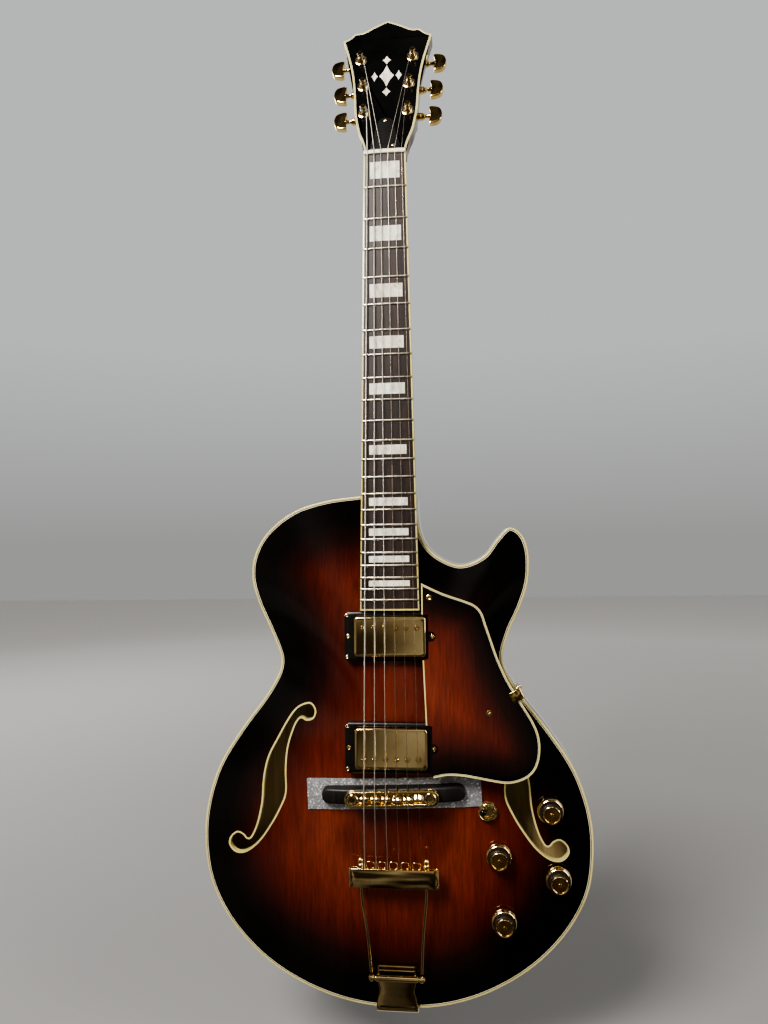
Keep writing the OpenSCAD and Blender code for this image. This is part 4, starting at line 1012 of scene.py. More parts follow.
def build_tuners():
    cases, washers = Shape(), Shape()
    for i, (x, z) in enumerate(POST_AT):
        at = shift(x, 0, z) @ FACING
        # Thin washer, then the conical bushing that the post comes out of
        washers.lathe([(3.1, 0), (6.4, 0), (6.6, 0.25), (6.5, 0.7), (5.9, 1.0), (4.9, 1.15), (4.5, 1.7),
            (3.9, 2.15), (3.3, 2.2), (3.1, 2.0)], 56, at)
        body = round_rect(18.5, 29, 8, 10)
        rings = []
        for y, shrink in ((HEAD_T, 0), (CASE_BACK - 2.4, 0), (CASE_BACK - 1.2, 0.35), (CASE_BACK - 0.4,
                1.1), (CASE_BACK - 0.05, 2.2), (CASE_BACK, 3.2), (CASE_BACK - 0.25, 3.5), (CASE_BACK - 0.25,
                6)):
            rings.append([(x + px * (1 - shrink / 9.25), y, z + WORM_Z / 2 + pz * (1 - shrink / 14.5))
                for px, pz in body])
        cases.loft(rings)
        # Worm housing across the case, ending in a collar for the button's shaft
        local = HEAD.inverted() @ worm_frame(i)
        cases.lathe([(0, -8.4), (3.3, -8.4), (3.9, -7.9), (3.95, 7), (4.1, 9), (4.1, 12.5), (3.7, 13),
            (3.7, 13.6), (4.0, 14), (3.9, 14.8), (3.2, 15.1), (2.3, 15.1), (2.3, 14)], 40, local)
    cases.piece("tuner_cases", GOLD, base=HEAD, cad="tuner_housings", sharp=30)
    washers.piece("tuner_washers", GOLD_BRIGHT, base=HEAD, sharp=30)
    for i in range(6):
        build_button(i)
        build_post(i)


def build_button(i):
    """Flat crescent button with a softened edge, and its turned shaft."""
    shape = Shape()
    outline = closed_curve(BUTTON_POINTS, 10)
    mid = np.array([7.0, 0.0])
    rings = []
    for y, shrink in ((-3.0, 0.16), (-2.92, 0.07), (-2.6, 0.02), (-2.0, 0.0), (2.0, 0.0), (2.6, 0.02),
            (2.92, 0.07), (3.0, 0.16)):
        shrunk = [mid + (np.array(p) - mid) * (1 - shrink) for p in outline]
        rings.append([(q[0], y, q[1]) for q in shrunk])
    shape.loft(rings, at=shift(0, 0, BUTTON_GAP) @ turn("Y", -90))
    shape.lathe([(0, 0), (2.2, 0), (2.2, 15.4), (3.1, 15.5), (3.3, 16), (3.1, 16.6), (2.1, 17), (1.9, 18),
        (2.0, 20), (2.6, 21.6), (2.9, 22.6), (2.4, 23.6), (0, 24)], 40)
    shape.lathe([(0, -6), (2.9, -6), (3.1, -5.7), (3.1, 5.7), (2.9, 6), (0, 6)], 24)
    name = f"tuner_button_{i + 1}"
    shape.piece(f"button_{i + 1}", GOLD, body=name, base=worm_frame(i), cad=name, sharp=28)


def build_post(i):
    """Waisted string post with its hole, the string's turns round it and its cut end."""
    x, z = POST_AT[i]
    side = 1 if x < 0 else -1
    at = HEAD @ shift(x, 0, z)
    post = Shape()
    post.lathe([(0, -17.5), (2.95, -17.5), (2.95, 2.6), (3.0, 3.2), (2.85, 3.5), (2.45, 3.8), (2.3, 5.5),
        (2.35, 7.6), (2.7, 8.3), (2.95, 8.7), (3.0, 9.7), (2.75, 10.1), (2.2, 10.2), (1.2, 10.05),
        (0, 10.0)], 48, FACING)
    post.lathe([(0, -21.5), (6.3, -21.5), (6.7, -21), (6.7, -18), (6.3, -17.5), (0, -17.5)], 40, FACING)
    name = f"tuner_post_{i + 1}"
    post.piece(f"post_{i + 1}", GOLD_BRIGHT, body=name, base=at, cad=name, sharp=30)
    r = STRING_R[i]
    turns = 2.6 if i < 3 else 3.4
    path = []
    count = int(turns * 22)
    for t in np.arange(count + 1) / count:
        a = side * (-TURNS_ANGLE + 2 * pi * turns * t) + (pi if side < 0 else 0)
        path.append(((POST_WAIST + r) * cos(a), TURNS_Y - 2 * r * 1.15 * turns * t * (1 if i < 3 else 1.1),
            (POST_WAIST + r) * sin(a)))
    wrap = Shape().tube(path, max(r, 0.2), 8)
    # The end goes through the post's hole and is cut short
    through = [(-3.9, 1.6), (-2.2, 0.9), (0, 0), (2.4, -0.9)]
    wrap.tube([(x * side, -7.5, z) for x, z in through], max(r, 0.2), 8)
    material = WOUND if i < 3 else STRING_STEEL
    wrap.piece(f"string_turns_{i + 1}", material, body=name, base=at, sharp=50)


# ---------------------------------------------------------------- pickguard and pickups

GUARD_EDGE = [(40, -619.5), (53, -617), (67, -617.3), (82, -619.5), (98, -622.3), (110, -623.3),
    (122, -620.5), (131.5, -614.5), (137.5, -605), (140, -592), (139, -579), (134.5, -567), (127.5, -555),
    (119, -541), (110.5, -526), (103, -508.5), (97, -490.5), (92, -475), (88.5, -464.5), (82, -457.3),
    (71, -452.5), (51, -445.5), (30.8, -436)]
GUARD_SIDE = [(30.8, -466), (37, -466), (37, -508), (31.3, -509.5), (33.5, -570.5), (39.5, -571.5),
    (39.5, -616)]
# The same side with a bay round each ring's height screw
GUARD_CUT = [*GUARD_SIDE[:2], (37, -482), (42, -482.6), (44.8, -487), (42, -491.4), (37, -492),
    *GUARD_SIDE[2:6], (39.5, -588), (43, -588.8), (45.4, -593), (43, -597.2), (39.5, -598), GUARD_SIDE[6]]
GUARD_SCREWS = [(38.3, -450), (93.4, -558.7)]
BRACKET_X, BRACKET_Z, BRACKET_TURN = 122.2, -540, -27.4
HEIGHT_SCREW_X = 41.0
RING_TOP = 4.5
COVER_TOP = -1.2
# A pickup ring's rounded face: steps inwards from its outer and its inner edge, and depth
RING_OUTSIDE = [(0, 1.2), (0.3, 0.4), (1, 0)]
RING_INSIDE = [(-1.6, -0.15), (-0.3, 0.05), (0, 0.5)]


def build_pickguard():
    curve = open_curve(GUARD_EDGE, 6)
    full = curve + [np.array(p, float) for p in GUARD_SIDE]
    count = len(curve)

    def line(d):
        """The curved edge moved in by d, its ends kept square."""
        moved = inset(full, d)[: count - 1]
        moved[0] = np.array([40 - 0.1 * d, -619.5 + 1.02 * d])
        return moved + [np.array([30.8, -436 - 1.12 * d])]

    face = line(2.0) + [np.array(p, float) for p in GUARD_CUT]
    plate("guard_face", lambda x, z: 1.0, 3.0, [], SUNBURST, "pickguard", 6.0, face,
        lambda co: 18 + 1.45 * rim_distance(co.x, co.z, GUARD_ARRAY), NECK)
    strips = Shape()
    for (x0, z0), (x1, z1) in (((30.8, -438.5), (30.8, -466)), ((31.3, -509.5), (33.5, -570.5))):
        strips.prism([(x0, z0), (x0 + 1.3, z0), (x1 + 1.3, z1), (x1, z1)], 0.9, 1.4)
    strips.piece("guard_side_strips", CREAM, base=NECK, sharp=45)
    layers = [(0.0, 1.35, CREAM, "cream", 0.0), (1.35, 1.7, LINE_BLACK, "black", 0.02),
        (1.7, 2.02, LINE_WHITE, "white", 0.0)]
    for start, stop, material, kind, sink in layers:
        strip = Shape().band(line(start) if start else curve, line(stop), 0.97 + sink, 4.0, closed=False)
        stands = "pickguard_binding" if kind == "cream" else None
        strip.piece(f"guard_edge_{kind}", material, base=NECK, cad=stands, sharp=45)
    bracket = Shape()
    at = shift(BRACKET_X, 0, BRACKET_Z) @ turn("Y", BRACKET_TURN)
    strap = [(-9, -40.4), (1.6, -40.4), (2.6, -40.0), (3.2, -39.0), (3.2, -4.6), (2.9, -4), (1.9, -4),
        (1.6, -4.6), (1.6, -38.2), (1.2, -38.9), (0.6, -39.0), (-9, -39.0)]
    rings = [[(x, y, z) for x, y in strap] for z in (-5, 5)]
    bracket.loft(rings, at=at)
    bracket.lathe([(0, 0), (3, 0), (3, 1.9), (0, 1.9)], 32, at @ shift(-0.2, -8, 0) @ turn("Y", 90))
    piece = bracket.piece("guard_bracket", GOLD, cad="pickguard_bracket")
    bevel(piece, 0.4, 3)


# Out along the curved edge and back, so that only that edge counts as rim
GUARD_LINE = [in_row(NECK, (p[0], 1, p[1]))[[0, 2]] for p in open_curve(GUARD_EDGE, 4)]
GUARD_ARRAY = np.array(GUARD_LINE + GUARD_LINE[-2:0:-1])


def build_pickups():
    """Rings with a rounded lip that hug the carved top, and plated covers with a row of slotted poles."""
    for k, (kind, z) in enumerate(PICKUP_Z.items()):
        outer, inner = round_rect(90, 47.5, 4, 8), round_rect(71, 39.6, 4, 8)
        rings = []
        for (ox, oz), (ix, iz) in zip(outer, inner):
            wx, wz = ix - ox, iz - oz
            size = hypot(wx, wz)
            ux, uz = wx / size, wz / size
            foot = in_row(NECK, (ox, RING_TOP, oz + z))
            low = (NECK.inverted() @ Vector((foot[0], top_y(foot[0], foot[2]) + 0.15, foot[2]))).y
            lip = [(ox + d * ux, RING_TOP + y, oz + d * uz) for d, y in RING_OUTSIDE]
            bore = [(ix + d * ux, RING_TOP + y, iz + d * uz) for d, y in RING_INSIDE]
            rings.append([(ox, low, oz), *lip, *bore, (ix, low, iz)])
        stands = "pickup_rings" if k == 0 else None
        at = NECK @ shift(0, 0, z)
        ring = Shape().loft(rings, False, closed=True)
        ring.piece(f"{kind}_pickup_ring", BLACK_PLASTIC, base=at, cad=stands, sharp=50)
        pole_row = 8.5 if kind == "neck" else -9.0
        build_cover(kind, at, pole_row)
        screws = Shape()
        for x in (-1, 1):
            for zz in (-1, 1):
                add_screw(screws, shift(x * 42.3, RING_TOP - 0.05, zz * 20), 1.9, 0.9, 6, 25 * x + 40 * zz)
            add_screw(screws, shift(x * HEIGHT_SCREW_X, RING_TOP - 0.05, 0), 2.2, 1.2, 12, 60 * x)
        stands = "screws" if k == 0 else None
        screws.piece(f"{kind}_ring_screws", GOLD_BRIGHT, base=at, cad=stands, sharp=30)


def build_cover(kind, at, pole_row):
    body = f"{kind}_pickup"
    shape = Shape()
    # The cover's face bulges a hair, and its edge is a soft 2 mm round
    profile = [(15.8, 0), (2.6, 0), (1.7, 0.06), (1.0, 0.28), (0.45, 0.72), (0.15, 1.3), (0.02, 2.1),
        (0, 3.4)]
    outline = round_rect(70, 38.6, 3.5, 8)
    shape.loft([[(x * (1 - pull / 35), COVER_TOP + y, z * (1 - pull / 19.3)) for x, z in outline]
        for y, pull in profile])
    shape.piece(f"{kind}_cover", GOLD_BRIGHT, body=body, base=at, cad=body, sharp=60)
    poles, rims = Shape(), Shape()
    for i in range(6):
        x = (i - 2.5) * 10.45
        spot = shift(x, COVER_TOP, pole_row)
        add_screw(poles, spot @ shift(0, 0.25, 0), 2.25, 1.5, 3, 35 * (i % 3) - 20, 0.75)
        rims.lathe([(2.35, -0.5), (2.35, 0.02), (2.75, 0.03), (2.95, -0.05), (2.95, -0.5)], 32,
            spot @ FACING)
    poles.piece(f"{kind}_poles", GOLD, body=body, base=at, sharp=30)
    rims.piece(f"{kind}_pole_rims", AMBER_GOLD, body=body, base=at, sharp=40)


def add_screw(shape, at, head_r, shank_r, length, angle=0.0, dome=1.0):
    """Domed screw seated at y = 0 and driven along +y, with a straight slot across its head."""
    half_slot = 0.13 * head_r + 0.08
    top = 0.62 * dome
    rings = [[(*p, h) for p in circle(shank_r, 40, 0.5)] for h in (-length, -0.02)]
    for r, h in ((1, 0), (1, 0.25), (0.96, 0.6), (0.8, 0.85), (0.5, 1), (0.2, 1.03)):
        rings.append([(x, y, top * (h - (0.55 if abs(y) < half_slot and h > 0.5 else 0)))
            for x, y in circle(r * head_r, 40, 0.5)])
    shape.loft(rings, at=at @ turn("Y", angle) @ FACING)


def build_loose_screws():
    """Truss cover, pickguard, tuner, bracket and tail screws."""
    screws = Shape()
    add_screw(screws, HEAD @ shift(0, -2.2, 44), 1.8, 1, 6, 30)
    add_screw(screws, HEAD @ shift(8.6, -2.2, 11), 1.8, 1, 6, -20)
    for k, (x, z) in enumerate(GUARD_SCREWS):
        add_screw(screws, NECK @ shift(x, 0.95, z), 3, 1.4, 6, 35 + 40 * k, 1.3)
    for k, (x, z) in enumerate(POST_AT):
        add_screw(screws, HEAD @ shift(x, CASE_BACK, z + 14) @ turn("X", 180), 1.5, 0.8, 3, 50 * k)
    for x in (-14, 14):
        add_screw(screws, shift(x, 14, -851.0) @ turn("X", 90), 3, 1.4, 10, 30 + 2 * x, 1.4)
    side = shift(BRACKET_X, -8, BRACKET_Z) @ turn("Y", BRACKET_TURN) @ shift(3.2, 0, 0) @ turn("Z", 90)
    add_screw(screws, side, 2.6, 1.3, 9, 20, 1.3)
    screws.piece("body_screws", GOLD_BRIGHT, sharp=30)


# ---------------------------------------------------------------- bridge

BRIDGE_Z = -638.0
BRIDGE_TURN = 2.2
BRIDGE = shift(z=BRIDGE_Z) @ turn("Y", -BRIDGE_TURN)
BASE_FRONT = -37.5
FOAM_T = 1.5
# The rounded front of the foot: depth behind its face, and share of its half width
FOOT_EDGE = [(1.6, 0.86), (0.4, 0.74), (0, 0.6), (0, -0.6), (0.4, -0.74), (1.6, -0.86)]
POST_X = 37.0
SADDLE_X = [-26 + 10.4 * i for i in range(6)]


def bridge_top_y(x, z):
    """Height of the carved top under a point of the bridge's frame."""
    p = in_row(BRIDGE, (x, 0, z))
    return top_y(p[0], p[2])


def saddle_peak(i):
    x = SADDLE_X[i]
    z = BRIDGE_Z + x * tan(radians(BRIDGE_TURN))
    y = in_row(NECK, (x, crown_y(x) - 5.3, z))[1]
    return np.array([x, y, z])


def build_bridge():
    # Foam sheet: lies on the arch, its edges a little ragged
    rings = []
    for x in np.linspace(-85, 85, 60):
        wave = 0.35 * sin(0.9 * x) + 0.25 * sin(2.3 * x + 1)
        zs = [-15 + 0.5 * wave] + list(np.linspace(-12, 12, 9)) + [15 + 0.4 * wave]
        y_at = lambda z: bridge_top_y(x, z) - 0.1
        low = [(x, y_at(z), z) for z in zs]
        high = [(x, y_at(z) - FOAM_T * (1 if abs(z) < 14 else 0.75), z) for z in reversed(zs)]
        rings.append(low + high)
    Shape().loft(rings).piece("foam_sheet", FOAM, base=BRIDGE, cad="bridge_foam_sheet", sharp=60)
    # Fitted foot: ebony, its ends sloping down and rounded
    rings = []
    for x in np.linspace(-69, 69, 70):
        end = math.sqrt(max(0, 1 - max(0, (abs(x) - 62) / 7.2) ** 2))
        half = 8.5 * (0.35 + 0.65 * end)
        front = BASE_FRONT + 5 * (max(0, abs(x) - 42) / 27) ** 1.5
        low = lambda z: bridge_top_y(x, z) - FOAM_T - 0.1
        rings.append([(x, low(z), z) for z in (-half, 0, half)]
                     + [(x, front + y, share * half) for y, share in FOOT_EDGE])
    Shape().loft(rings).piece("bridge_foot", EBONY, base=BRIDGE, cad="bridge_base", sharp=40)
    posts = Shape()
    for side in (-1, 1):
        # Threaded post: a fine saw-tooth section, slotted end
        section = [(0, 30), (2.0, 30)]
        h = 30.6
        while h < 46:
            section += [(2.0, h), (1.72, h + 0.35)]
            h += 0.7
        section += [(1.9, 46.2), (1.5, 46.6), (0, 46.6)]
        posts.lathe(section, 24, shift(side * POST_X, 0, 0) @ FACING)
    posts.piece("threaded_posts", GOLD, base=BRIDGE, cad="bridge_posts", sharp=20)
    for side, name in ((-1, "bass_thumbwheel"), (1, "treble_thumbwheel")):
        wheel = knurled([(2.1, 40.2), (7.2, 40.15), (8, 40.5), (8, 41.6), (7.2, 41.95), (2.1, 41.9)], 48,
            0.28)
        at = BRIDGE @ shift(side * POST_X, 0, 0) @ FACING
        wheel.piece(name.replace("thumbwheel", "wheel"), GOLD, body=name, base=at, cad=name)
    build_bridge_body()


def knurled(section, teeth, depth):
    """Turned solid whose widest rings carry fine teeth."""
    widest = max(r for r, _ in section)
    rings = []
    for r, h in section + [section[0]]:
        cut = depth if r > 0.93 * widest else 0
        outer, inner = circle(r, 4 * teeth), circle(r - cut, 4 * teeth)
        rings.append([(*(inner[k] if k % 4 in (0, 1) else outer[k]), h) for k in range(4 * teeth)])
    return Shape().loft(rings, False)


def ring_at(r, x=0.0, z=0.0):
    return [(x + px, z + pz) for px, pz in circle(r, 32)]


def build_bridge_body():
    body = Shape()
    outer = round_rect(90, 15, 7.4, 10)
    trough = round_rect(66, 9.4, 1.5, 4)
    ends = [ring_at(2.35, s * POST_X) for s in (-1, 1)]
    body.slab([outer, trough, *ends], -47, -43.6)
    body.slab([outer, *ends], -43.62, -42)
    piece = body.piece("bridge_bar", GOLD, body="bridge", base=BRIDGE, cad="bridge_body", sharp=40)
    bevel(piece, 0.5, 3, 50)
    bosses = Shape()
    for s in (-1, 1):
        bosses.lathe([(2.4, 46.5), (2.4, 47.5), (3.2, 47.8), (4.9, 47.7), (5.5, 47.2), (5.6, 46.8)], 40,
            shift(s * POST_X, 0, 0) @ FACING)
        bosses.lathe([(1.0, 46.0), (1.0, 46.7), (1.9, 46.7), (2.05, 46.3), (2.05, 45.5)], 24,
            shift(s * POST_X, 0, 0) @ FACING)
    bosses.piece("bridge_bosses", GOLD_BRIGHT, body="bridge", base=BRIDGE)
    blocks, screws = Shape(), Shape()
    for i, x0 in enumerate(SADDLE_X):
        peak = saddle_peak(i)[1] + STRING_R[i] + 0.05
        lean = 0.9 if i < 3 else -0.9
        rings = []
        for dx in (-4.3, -4.0, -3.2, -STRING_R[i] - 0.25, -0.1, 0.1, STRING_R[i] + 0.25, 3.2, 4.0, 4.3):
            end = 0.35 * max(0, abs(dx) - 3.6) / 0.7
            rise = 0.12 * (dx / 4.3) ** 2 + end - (0.25 if abs(dx) > STRING_R[i] else 0)
            top = peak + rise
            rings.append([(x0 + dx, y, z) for y, z in (
                (-43.5, -3.6), (-46.0, -3.6 + end), (top + 0.9, -1.7 + lean), (top, lean - 0.4),
                (top, lean + 0.4), (top + 0.9, 1.7 + lean), (-46.0, 3.6 - end), (-43.5, 3.6))])
        blocks.loft(rings)
        screws.lathe([(0, -3), (0.85, -3), (0.85, 7.4), (1.75, 7.5), (1.85, 8.0), (1.8, 9.0), (1.4, 9.4),
            (0.5, 9.3), (0, 8.9)], 28, shift(x0 + 1.2, -45.4, 0))
    piece = blocks.piece("saddle_blocks", GOLD_BRIGHT, body="bridge", base=BRIDGE, cad="saddles")
    bevel(piece, 0.12, 2, 50)
    screws.piece("saddle_screws", GOLD, body="bridge", base=BRIDGE)


# ---------------------------------------------------------------- tailpiece

HINGE_Y, HINGE_Z = -22.0, -817.0
BAND_Z, BAND_H = -723.5, 17.5
TAIL_X = [-27.5 + 11 * i for i in range(6)]


def strip_sides(path, half):
    """Each point of a path with the unit vector square to it, times half the strip's thickness."""
    last = len(path) - 1
    for i, p in enumerate(path):
        way = path[min(i + 1, last)] - path[max(i - 1, 0)]
        yield p, half * np.array([way[1], -way[0]]) / np.hypot(*way)


def build_tailpiece():
    tail = {"body": "tailpiece"}
    half_path = [(0, -40.3), (14, -40.15), (27, -39.75), (36, -39.3), (40.6, -38.7), (42.6, -37.2),
        (42.3, -35.3), (40, -34.75), (36, -34.8), (33.6, -34.9)]
    path = open_curve([(-x, y) for x, y in reversed(half_path[1:])] + half_path, 5)
    top = BAND_Z + BAND_H
    rings = []
    for p, n in strip_sides(path, 0.7):
        a, b = p + n, p - n
        rings.append([(*a, BAND_Z), (*a, top), (*b, top), (*b, BAND_Z)])
    bevel(Shape().loft(rings).piece("tail_band", GOLD_BRIGHT, **tail, cad="tailpiece", sharp=40), 0.4, 3,
        50)
    notches = [ring_at(1.3, x, BAND_Z + 11) for x in TAIL_X]
    holder = Shape().slab([flat_bar(-36, 36, BAND_Z + 2, BAND_Z + 16), *notches], -37.3, -35.3)
    for s in (-1, 1):
        holder.prism(flat_bar(s * 34, s * 41, BAND_Z + 1, BAND_Z + 15), -38.8, -34.9)
    bevel(holder.piece("tail_string_plate", GOLD, **tail, sharp=40), 0.3, 2)
    loops = Shape()
    for left, right in zip(TAIL_X, TAIL_X[1:]):
        x = (left + right) / 2
        path = [(x + px, -37.2, BAND_Z + 19.6 + pz) for px, pz in round_rect(7.6, 7.4, 2.2, 5)]
        loops.tube(path + path[:1], 0.55, 10)
        loops.prism(flat_bar(x - 3.2, x + 3.2, BAND_Z + 15, BAND_Z + 18.2), -37.0, -36.4)
    loops.piece("tail_string_loops", GOLD_BRIGHT, **tail, sharp=40)
    arms = Shape()
    for s in (-1, 1):
        arms.lathe([(0, 8), (2.2, 8), (2.3, 15), (2.2, 17.2), (2.9, 17.8), (3.0, 21.2), (2.6, 21.8),
            (2.45, 22.2), (2.8, 22.7), (2.95, 24), (2.6, 25.6), (1.9, 26.6), (1.0, 27.2), (0, 27.4)], 40,
            shift(s * 31.5, -36.8, BAND_Z))
        arm = [(31.4, -36.6, BAND_Z + 8), (31.3, -36, BAND_Z - 2), (31, -35, BAND_Z - 9),
            (30, -33.4, BAND_Z - 21), (27, -27.9, -772), (24.6, -22.9, -811)]
        arms.tube(open_curve([(s * x, y, z) for x, y, z in arm], 8), 1.5, 16)
        arms.lathe([(2.4, -1.6), (3.1, -1.6), (3.4, -1.2), (3.4, 1.2), (3.1, 1.6), (2.4, 1.6)], 36,
            shift(s * 24.2, HINGE_Y, HINGE_Z) @ turn("Y", 90))
    arms.piece("tail_arms", GOLD_BRIGHT, **tail)


def build_tail_bracket():
    bars = Shape()
    # Pin, barrel and two thin rods, each with softened ends
    for half, r, bite, round_r, y, z, n in ((27.6, 2.3, 0.6, 0.7, 0, 0, 32), (20.5, 3.2, 0.5, 0.4, 0, 0,
            40), (18.6, 0.9, 0.4, 0.3, 1.5, 6.5, 20), (18.6, 0.9, 0.4, 0.3, 1.5, 10.5, 20)):
        end, low = half - bite, r - round_r
        bars.lathe([(0, -half), (low, -half), (r, -end), (r, end), (low, half), (0, half)], n,
            shift(0, HINGE_Y + y, HINGE_Z + z) @ turn("Y", 90))
    for x in (-17.8, 17.8):
        bars.prism(flat_bar(x - 0.7, x + 0.7, HINGE_Z, HINGE_Z + 11.6), HINGE_Y + 0.6, HINGE_Y + 2.4)
    bars.piece("tail_hinge_bars", GOLD_BRIGHT, cad="tail_bracket")
    # Waisted plate that runs down the front and wraps round the body's edge
    path = open_curve([(HINGE_Y + 1.6, -817), (-20.4, -824), (-20.45, -831), (-20.5, -840), (-20.3, -846),
        (-18.9, -849.3), (-15.5, -850.1), (-8, -850.1), (4, -850.1), (19.6, -850.1)], 8)
    stations = [0, 0.08, 0.17, 0.22, 0.26, 0.38, 0.5, 0.62, 0.8, 0.94, 1.0]
    widths = [19.2, 18.6, 17.2, 17.0, 18.2, 20.0, 20.4, 20.5, 20.5, 19.0, 14.5]
    rings = []
    for i, (p, n) in enumerate(strip_sides(path, 1.0)):
        half = float(np.interp(i / (len(path) - 1), stations, widths))
        front = [(half * x, *(p + n * (0.9 - 0.25 * x**6))) for x in np.linspace(-1, 1, 13)]
        rings.append(front + [(half * x, *(p - n * 0.9)) for x in (1, 0, -1)])
    bevel(Shape().loft(rings).piece("tail_saddle_plate", GOLD_BRIGHT, sharp=45), 0.3, 2, 50)


# ---------------------------------------------------------------- strings


def build_strings():
    """Each string runs from its post to the saddle, then on to the tailpiece."""
    for i, r in enumerate(STRING_R):
        x, z = POST_AT[i]
        side = 1 if x < 0 else -1
        reach = POST_WAIST + r
        start = in_row(HEAD, (x + side * reach * cos(TURNS_ANGLE), TURNS_Y, z - reach * sin(TURNS_ANGLE)))
        nut = in_row(NECK, (NUT_X[i], crown_y(NUT_X[i]) - 1.15 - r, 4.2))
        front = in_row(NECK, (NUT_X[i], crown_y(NUT_X[i]) - 1.2 - r, 0.2))
        saddle = saddle_peak(i)
        tail = np.array([TAIL_X[i], -38.05, -704.5])
        way = (tail - saddle) / np.linalg.norm(tail - saddle)
        behind, middle, near_tail = saddle + 14 * way, saddle + 34 * way, tail - 4 * way

        def part(name, path, a, b, first, last, node_name=None):
            shape = Shape().tube(path, r, 12)
            if name == "string_tail":
                # Ball end behind the string plate
                shape.lathe([(0.8, -1.6), (1.9, -1.6), (2.0, -1.2), (1.6, 0), (2.0, 1.2), (1.9, 1.6),
                    (0.8, 1.6)], 20, shift(TAIL_X[i], -34.2, BAND_Z + 11) @ turn("Y", 90))
            material = WOUND if i < 3 else STRING_STEEL
            stands = node_name if i == 0 else None
            made = shape.piece(f"{name}_{i + 1}", material, body=None, cad=stands, sharp=60)
            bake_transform(made)

        part("string", [start, nut, front, saddle, behind], "root", "bridge", front, saddle, "strings")
        # Behind the bridge a short straight link, then the tail part on down to the tailpiece
        link = np.linspace(behind - 0.3 * way, middle + 0.3 * way, 5)
        part("string_link", link, "bridge", "root", behind, middle)
        down = [*np.linspace(middle, near_tail, 9), tail + np.array([0, 0.12, -0.6]),
            tail - np.array([0, 0, 8])]
        part("string_tail", down, "root", "tailpiece", middle, near_tail, "string_tails")


# ---------------------------------------------------------------- controls

# Turned parts of a knob: name, finish, points round, and section
KNOB_PARTS = (("skirt", GOLD_BRIGHT, 80, [(10, 0.2), (12.8, 0), (13, 0.3), (13, 1.0), (12.8, 2.2),
    (12.3, 3.4), (11.6, 4.4), (10.8, 5.1), (10, 5.4)]), ("cap_ring", GOLD_BRIGHT, 64,
    [(8.6, 11.6), (8.5, 12.6), (8.2, 13.4), (7.8, 13.65), (7.3, 13.5), (7.0, 12.9), (6.7, 12.2)]),
    ("dish", AMBER_GOLD, 56, [(6.9, 12.6), (6.5, 11.9), (5.2, 11.35), (3.4, 11.2), (2.3, 11.3), (2.1, 12.1),
    (1.7, 12.6), (0.9, 12.85), (0, 12.9)]), ("shaft", POT_METAL, 32, [(0, -14), (2.95, -14), (2.95, 9),
    (0, 9)]))
KNOB_GRIP = [(9, 0.6), (10.3, 4.9), (10.9, 5.4), (10.9, 6.0), (10.3, 10.4), (10.1, 11.3), (9.6, 11.9),
    (8.9, 12.1), (8.5, 12.1)]
KNOB_RIDGES = 36
RIDGE_N = 6 * KNOB_RIDGES


def on_top(x, z):
    """Frame of a control: its z runs out of the top at that place."""
    return shift(x, top_y(x, z), z) @ FACING


def build_knobs():
    collars = Shape()
    for name, (x, z) in KNOB_AT.items():
        at = on_top(x, z)
        lift = at @ shift(0, 0, 2.8)
        for part, material, n, section in KNOB_PARTS:
            stands = name if part == "skirt" else None
            Shape().lathe(section, n, lift).piece(name.replace("knob", part), material, body=name,
                cad=stands)
        # Grip: a tapering drum whose side is pressed into fine ridges
        rings = []
        for r, h in KNOB_GRIP:
            depth = 0.38 if 5.6 < h < 11.5 else 0.12 if 11.3 < h < 12 else 0
            waves = [r - depth * (0.5 - 0.5 * cos(KNOB_RIDGES * 2 * pi * k / RIDGE_N))
                for k in range(RIDGE_N)]
            rings.append([(w * cos(2 * pi * k / RIDGE_N), w * sin(2 * pi * k / RIDGE_N), h)
                for k, w in enumerate(waves)])
        Shape().loft(rings, at=lift).piece(name.replace("knob", "grip"), KNOB_BLACK, body=name, sharp=50)
        collars.lathe([(3.2, -6.6), (4.55, -6.6), (4.6, 3.6), (4.3, 4.0), (3.2, 4.0)], 36, at)
        collars.lathe([(4.4, 0.3), (7.8, 0.35), (8, 0.6), (7.8, 1.0), (4.4, 1.05)], 40, at)
        collars.nut([(6.2, 1.1), (6.2, 3.0)], at)
        collars.lathe([(0, -16.2), (11.4, -16.2), (12, -15.8), (12, -7.2), (11.4, -6.8), (0, -6.8)], 40, at)
        collars.prism(flat_bar(-8, 8, -18, -9), 9, 10.4, shift(x, top_y(x, z), z))
    collars.piece("pots", POT_METAL, cad="control_pots")


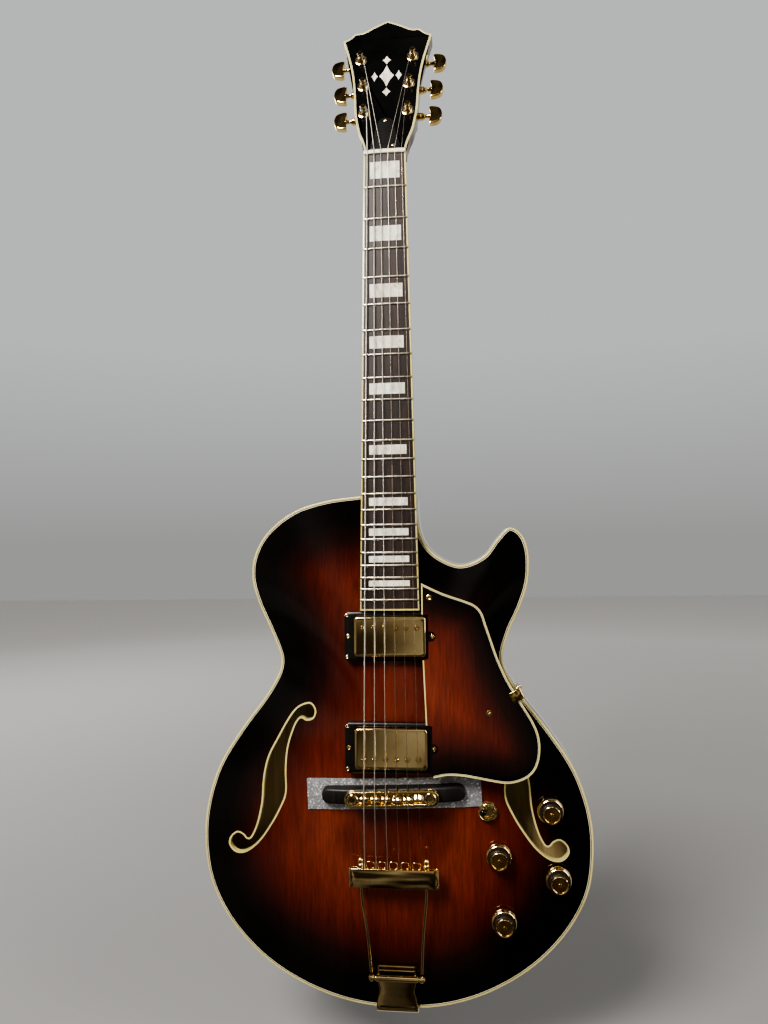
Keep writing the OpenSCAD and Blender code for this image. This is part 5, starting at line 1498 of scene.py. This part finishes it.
def build_switch():
    x, z = SWITCH_AT
    at = on_top(x, z)
    seat = shift(x, top_y(x, z), z)
    ring = Shape().lathe([(9.1, 0.6), (9.2, 1.0), (9.2, 2.4), (8.9, 2.9), (8.2, 3.05), (7.9, 2.8),
        (7.6, 3.05), (7.1, 3.15), (6.8, 2.9), (6.4, 3.5), (5.6, 3.75), (5.0, 3.5), (4.6, 2.6), (4.1, 0),
        (4.1, -3)], 64, at)
    ring.lathe([(9.3, 0.0), (9.8, 0.05), (9.8, 0.5), (9.3, 0.62), (5, 0.62), (5, 0.0)], 56, at)
    ring.piece("switch_nut", GOLD_BRIGHT, cad="toggle_switch", sharp=30)
    box = Shape().prism(flat_bar(-7, 7, -13, 13), 9, 28, seat)
    box.lathe([(4.2, -8.9), (5.9, -8.9), (5.9, 0), (4.2, 0)], 36, at)
    bevel(box.piece("switch_box", POT_METAL, slot="gold"), 0.5, 2)
    lean = seat @ shift(y=3) @ Matrix.Rotation(radians(SWITCH_LEAN), 4, Vector((1, 0, 1))) @ FACING
    lever = Shape().lathe([(0, -4.5), (1.4, -4.5), (1.5, -2.4), (2.2, -1.6), (2.6, 0), (2.2, 1.6),
        (1.55, 2.4), (1.5, 13.6)], 32, lean)
    lever.piece("switch_stem", GOLD, body="switch_lever", cad="toggle_lever", sharp=50)
    tip = Shape().lathe([(1.5, 13.4), (1.9, 13.5), (2.2, 14.2), (2.45, 16), (2.75, 18), (3.0, 20),
        (3.05, 21.2), (2.85, 22.4), (2.35, 23.3), (1.6, 23.95), (0.8, 24.15), (0, 24.2)], 48, lean)
    tip.piece("switch_tip", GLOSS_BLACK, body="switch_lever", sharp=50)


JACK = shift(161, 8, -774) @ turn("Y", 44) @ turn("Y", 90)


def build_jack():
    at = JACK
    jack = Shape()
    jack.lathe([(3.4, -8.9), (4.65, -8.9), (4.65, 3.6), (4.3, 4.0), (3.6, 4.0), (3.3, 3.6), (3.3, 0)], 48,
        at)
    jack.lathe([(4.7, 0.8), (8.3, 0.8), (8.5, 1.1), (8.3, 1.5), (7.2, 1.8), (4.7, 1.8)], 48, at)
    jack.nut([(6.6, 1.8), (6.6, 3.3), (6.1, 3.7)], at)
    jack.lathe([(4.7, -11), (6.8, -11), (7, -10.7), (7, -9.2), (4.7, -9)], 40, at)
    jack.prism(flat_bar(-3, 3, -38, -9), 4.6, 5.4, at @ turn("Z", 90))
    jack.piece("jack_socket", GOLD, cad="output_jack", sharp=30)


def build_strap_buttons():
    section = [(0, -14), (1.5, -14), (1.5, 0), (4.6, 0), (5.0, 0.4), (4.3, 2), (3.6, 4.2), (3.6, 5.6),
        (4.4, 7.8), (6.2, 9.2), (6.75, 9.9), (6.75, 10.7), (6.3, 11.3), (5.0, 11.7), (3.2, 11.8),
        (3.0, 11.3), (1.0, 11.2), (0, 11.2)]
    buttons = Shape()
    buttons.lathe(section, 48, shift(0, 8, -851.1) @ turn("X", 180))
    buttons.lathe(section, 48, NECK @ shift(0, BOARD_T + HEEL_DEPTH + 0.2, HEEL_Z + 7) @ turn("X", -90))
    buttons.piece("strap_knobs", GOLD, cad="strap_buttons")


# ---------------------------------------------------------------- inside


def keep_node(name, material):
    """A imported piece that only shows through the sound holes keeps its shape."""
    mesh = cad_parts[name].data
    mesh.materials.clear()
    mesh.materials.append(material)


def build_inside():
    for name in ("linings", "end_blocks", "tone_bars"):
        keep_node(name, SPRUCE)
    keep_node("truss_rod", STEEL)
    # Bare wood on the inner face of the back
    inner = lambda x, z: back_y(x, z) - PLATE_T - 0.4
    new_piece("inner_back_face", *sheet([inset(OUTLINE, 9)], 14.0, inner, lambda x, z: inner(x, z) + 0.35),
        SPRUCE)


# ---------------------------------------------------------------- the whole

for build in (set_camera, set_studio, build_top, build_back, build_rims, build_sound_holes, build_inside,
        build_neck, build_headstock, build_board, build_nut, build_tuners, build_pickguard, build_pickups,
        build_loose_screws, build_bridge, build_tailpiece, build_tail_bracket, build_strings, build_knobs,
        build_switch, build_jack, build_strap_buttons):
    build()

bpy.context.view_layer.update()
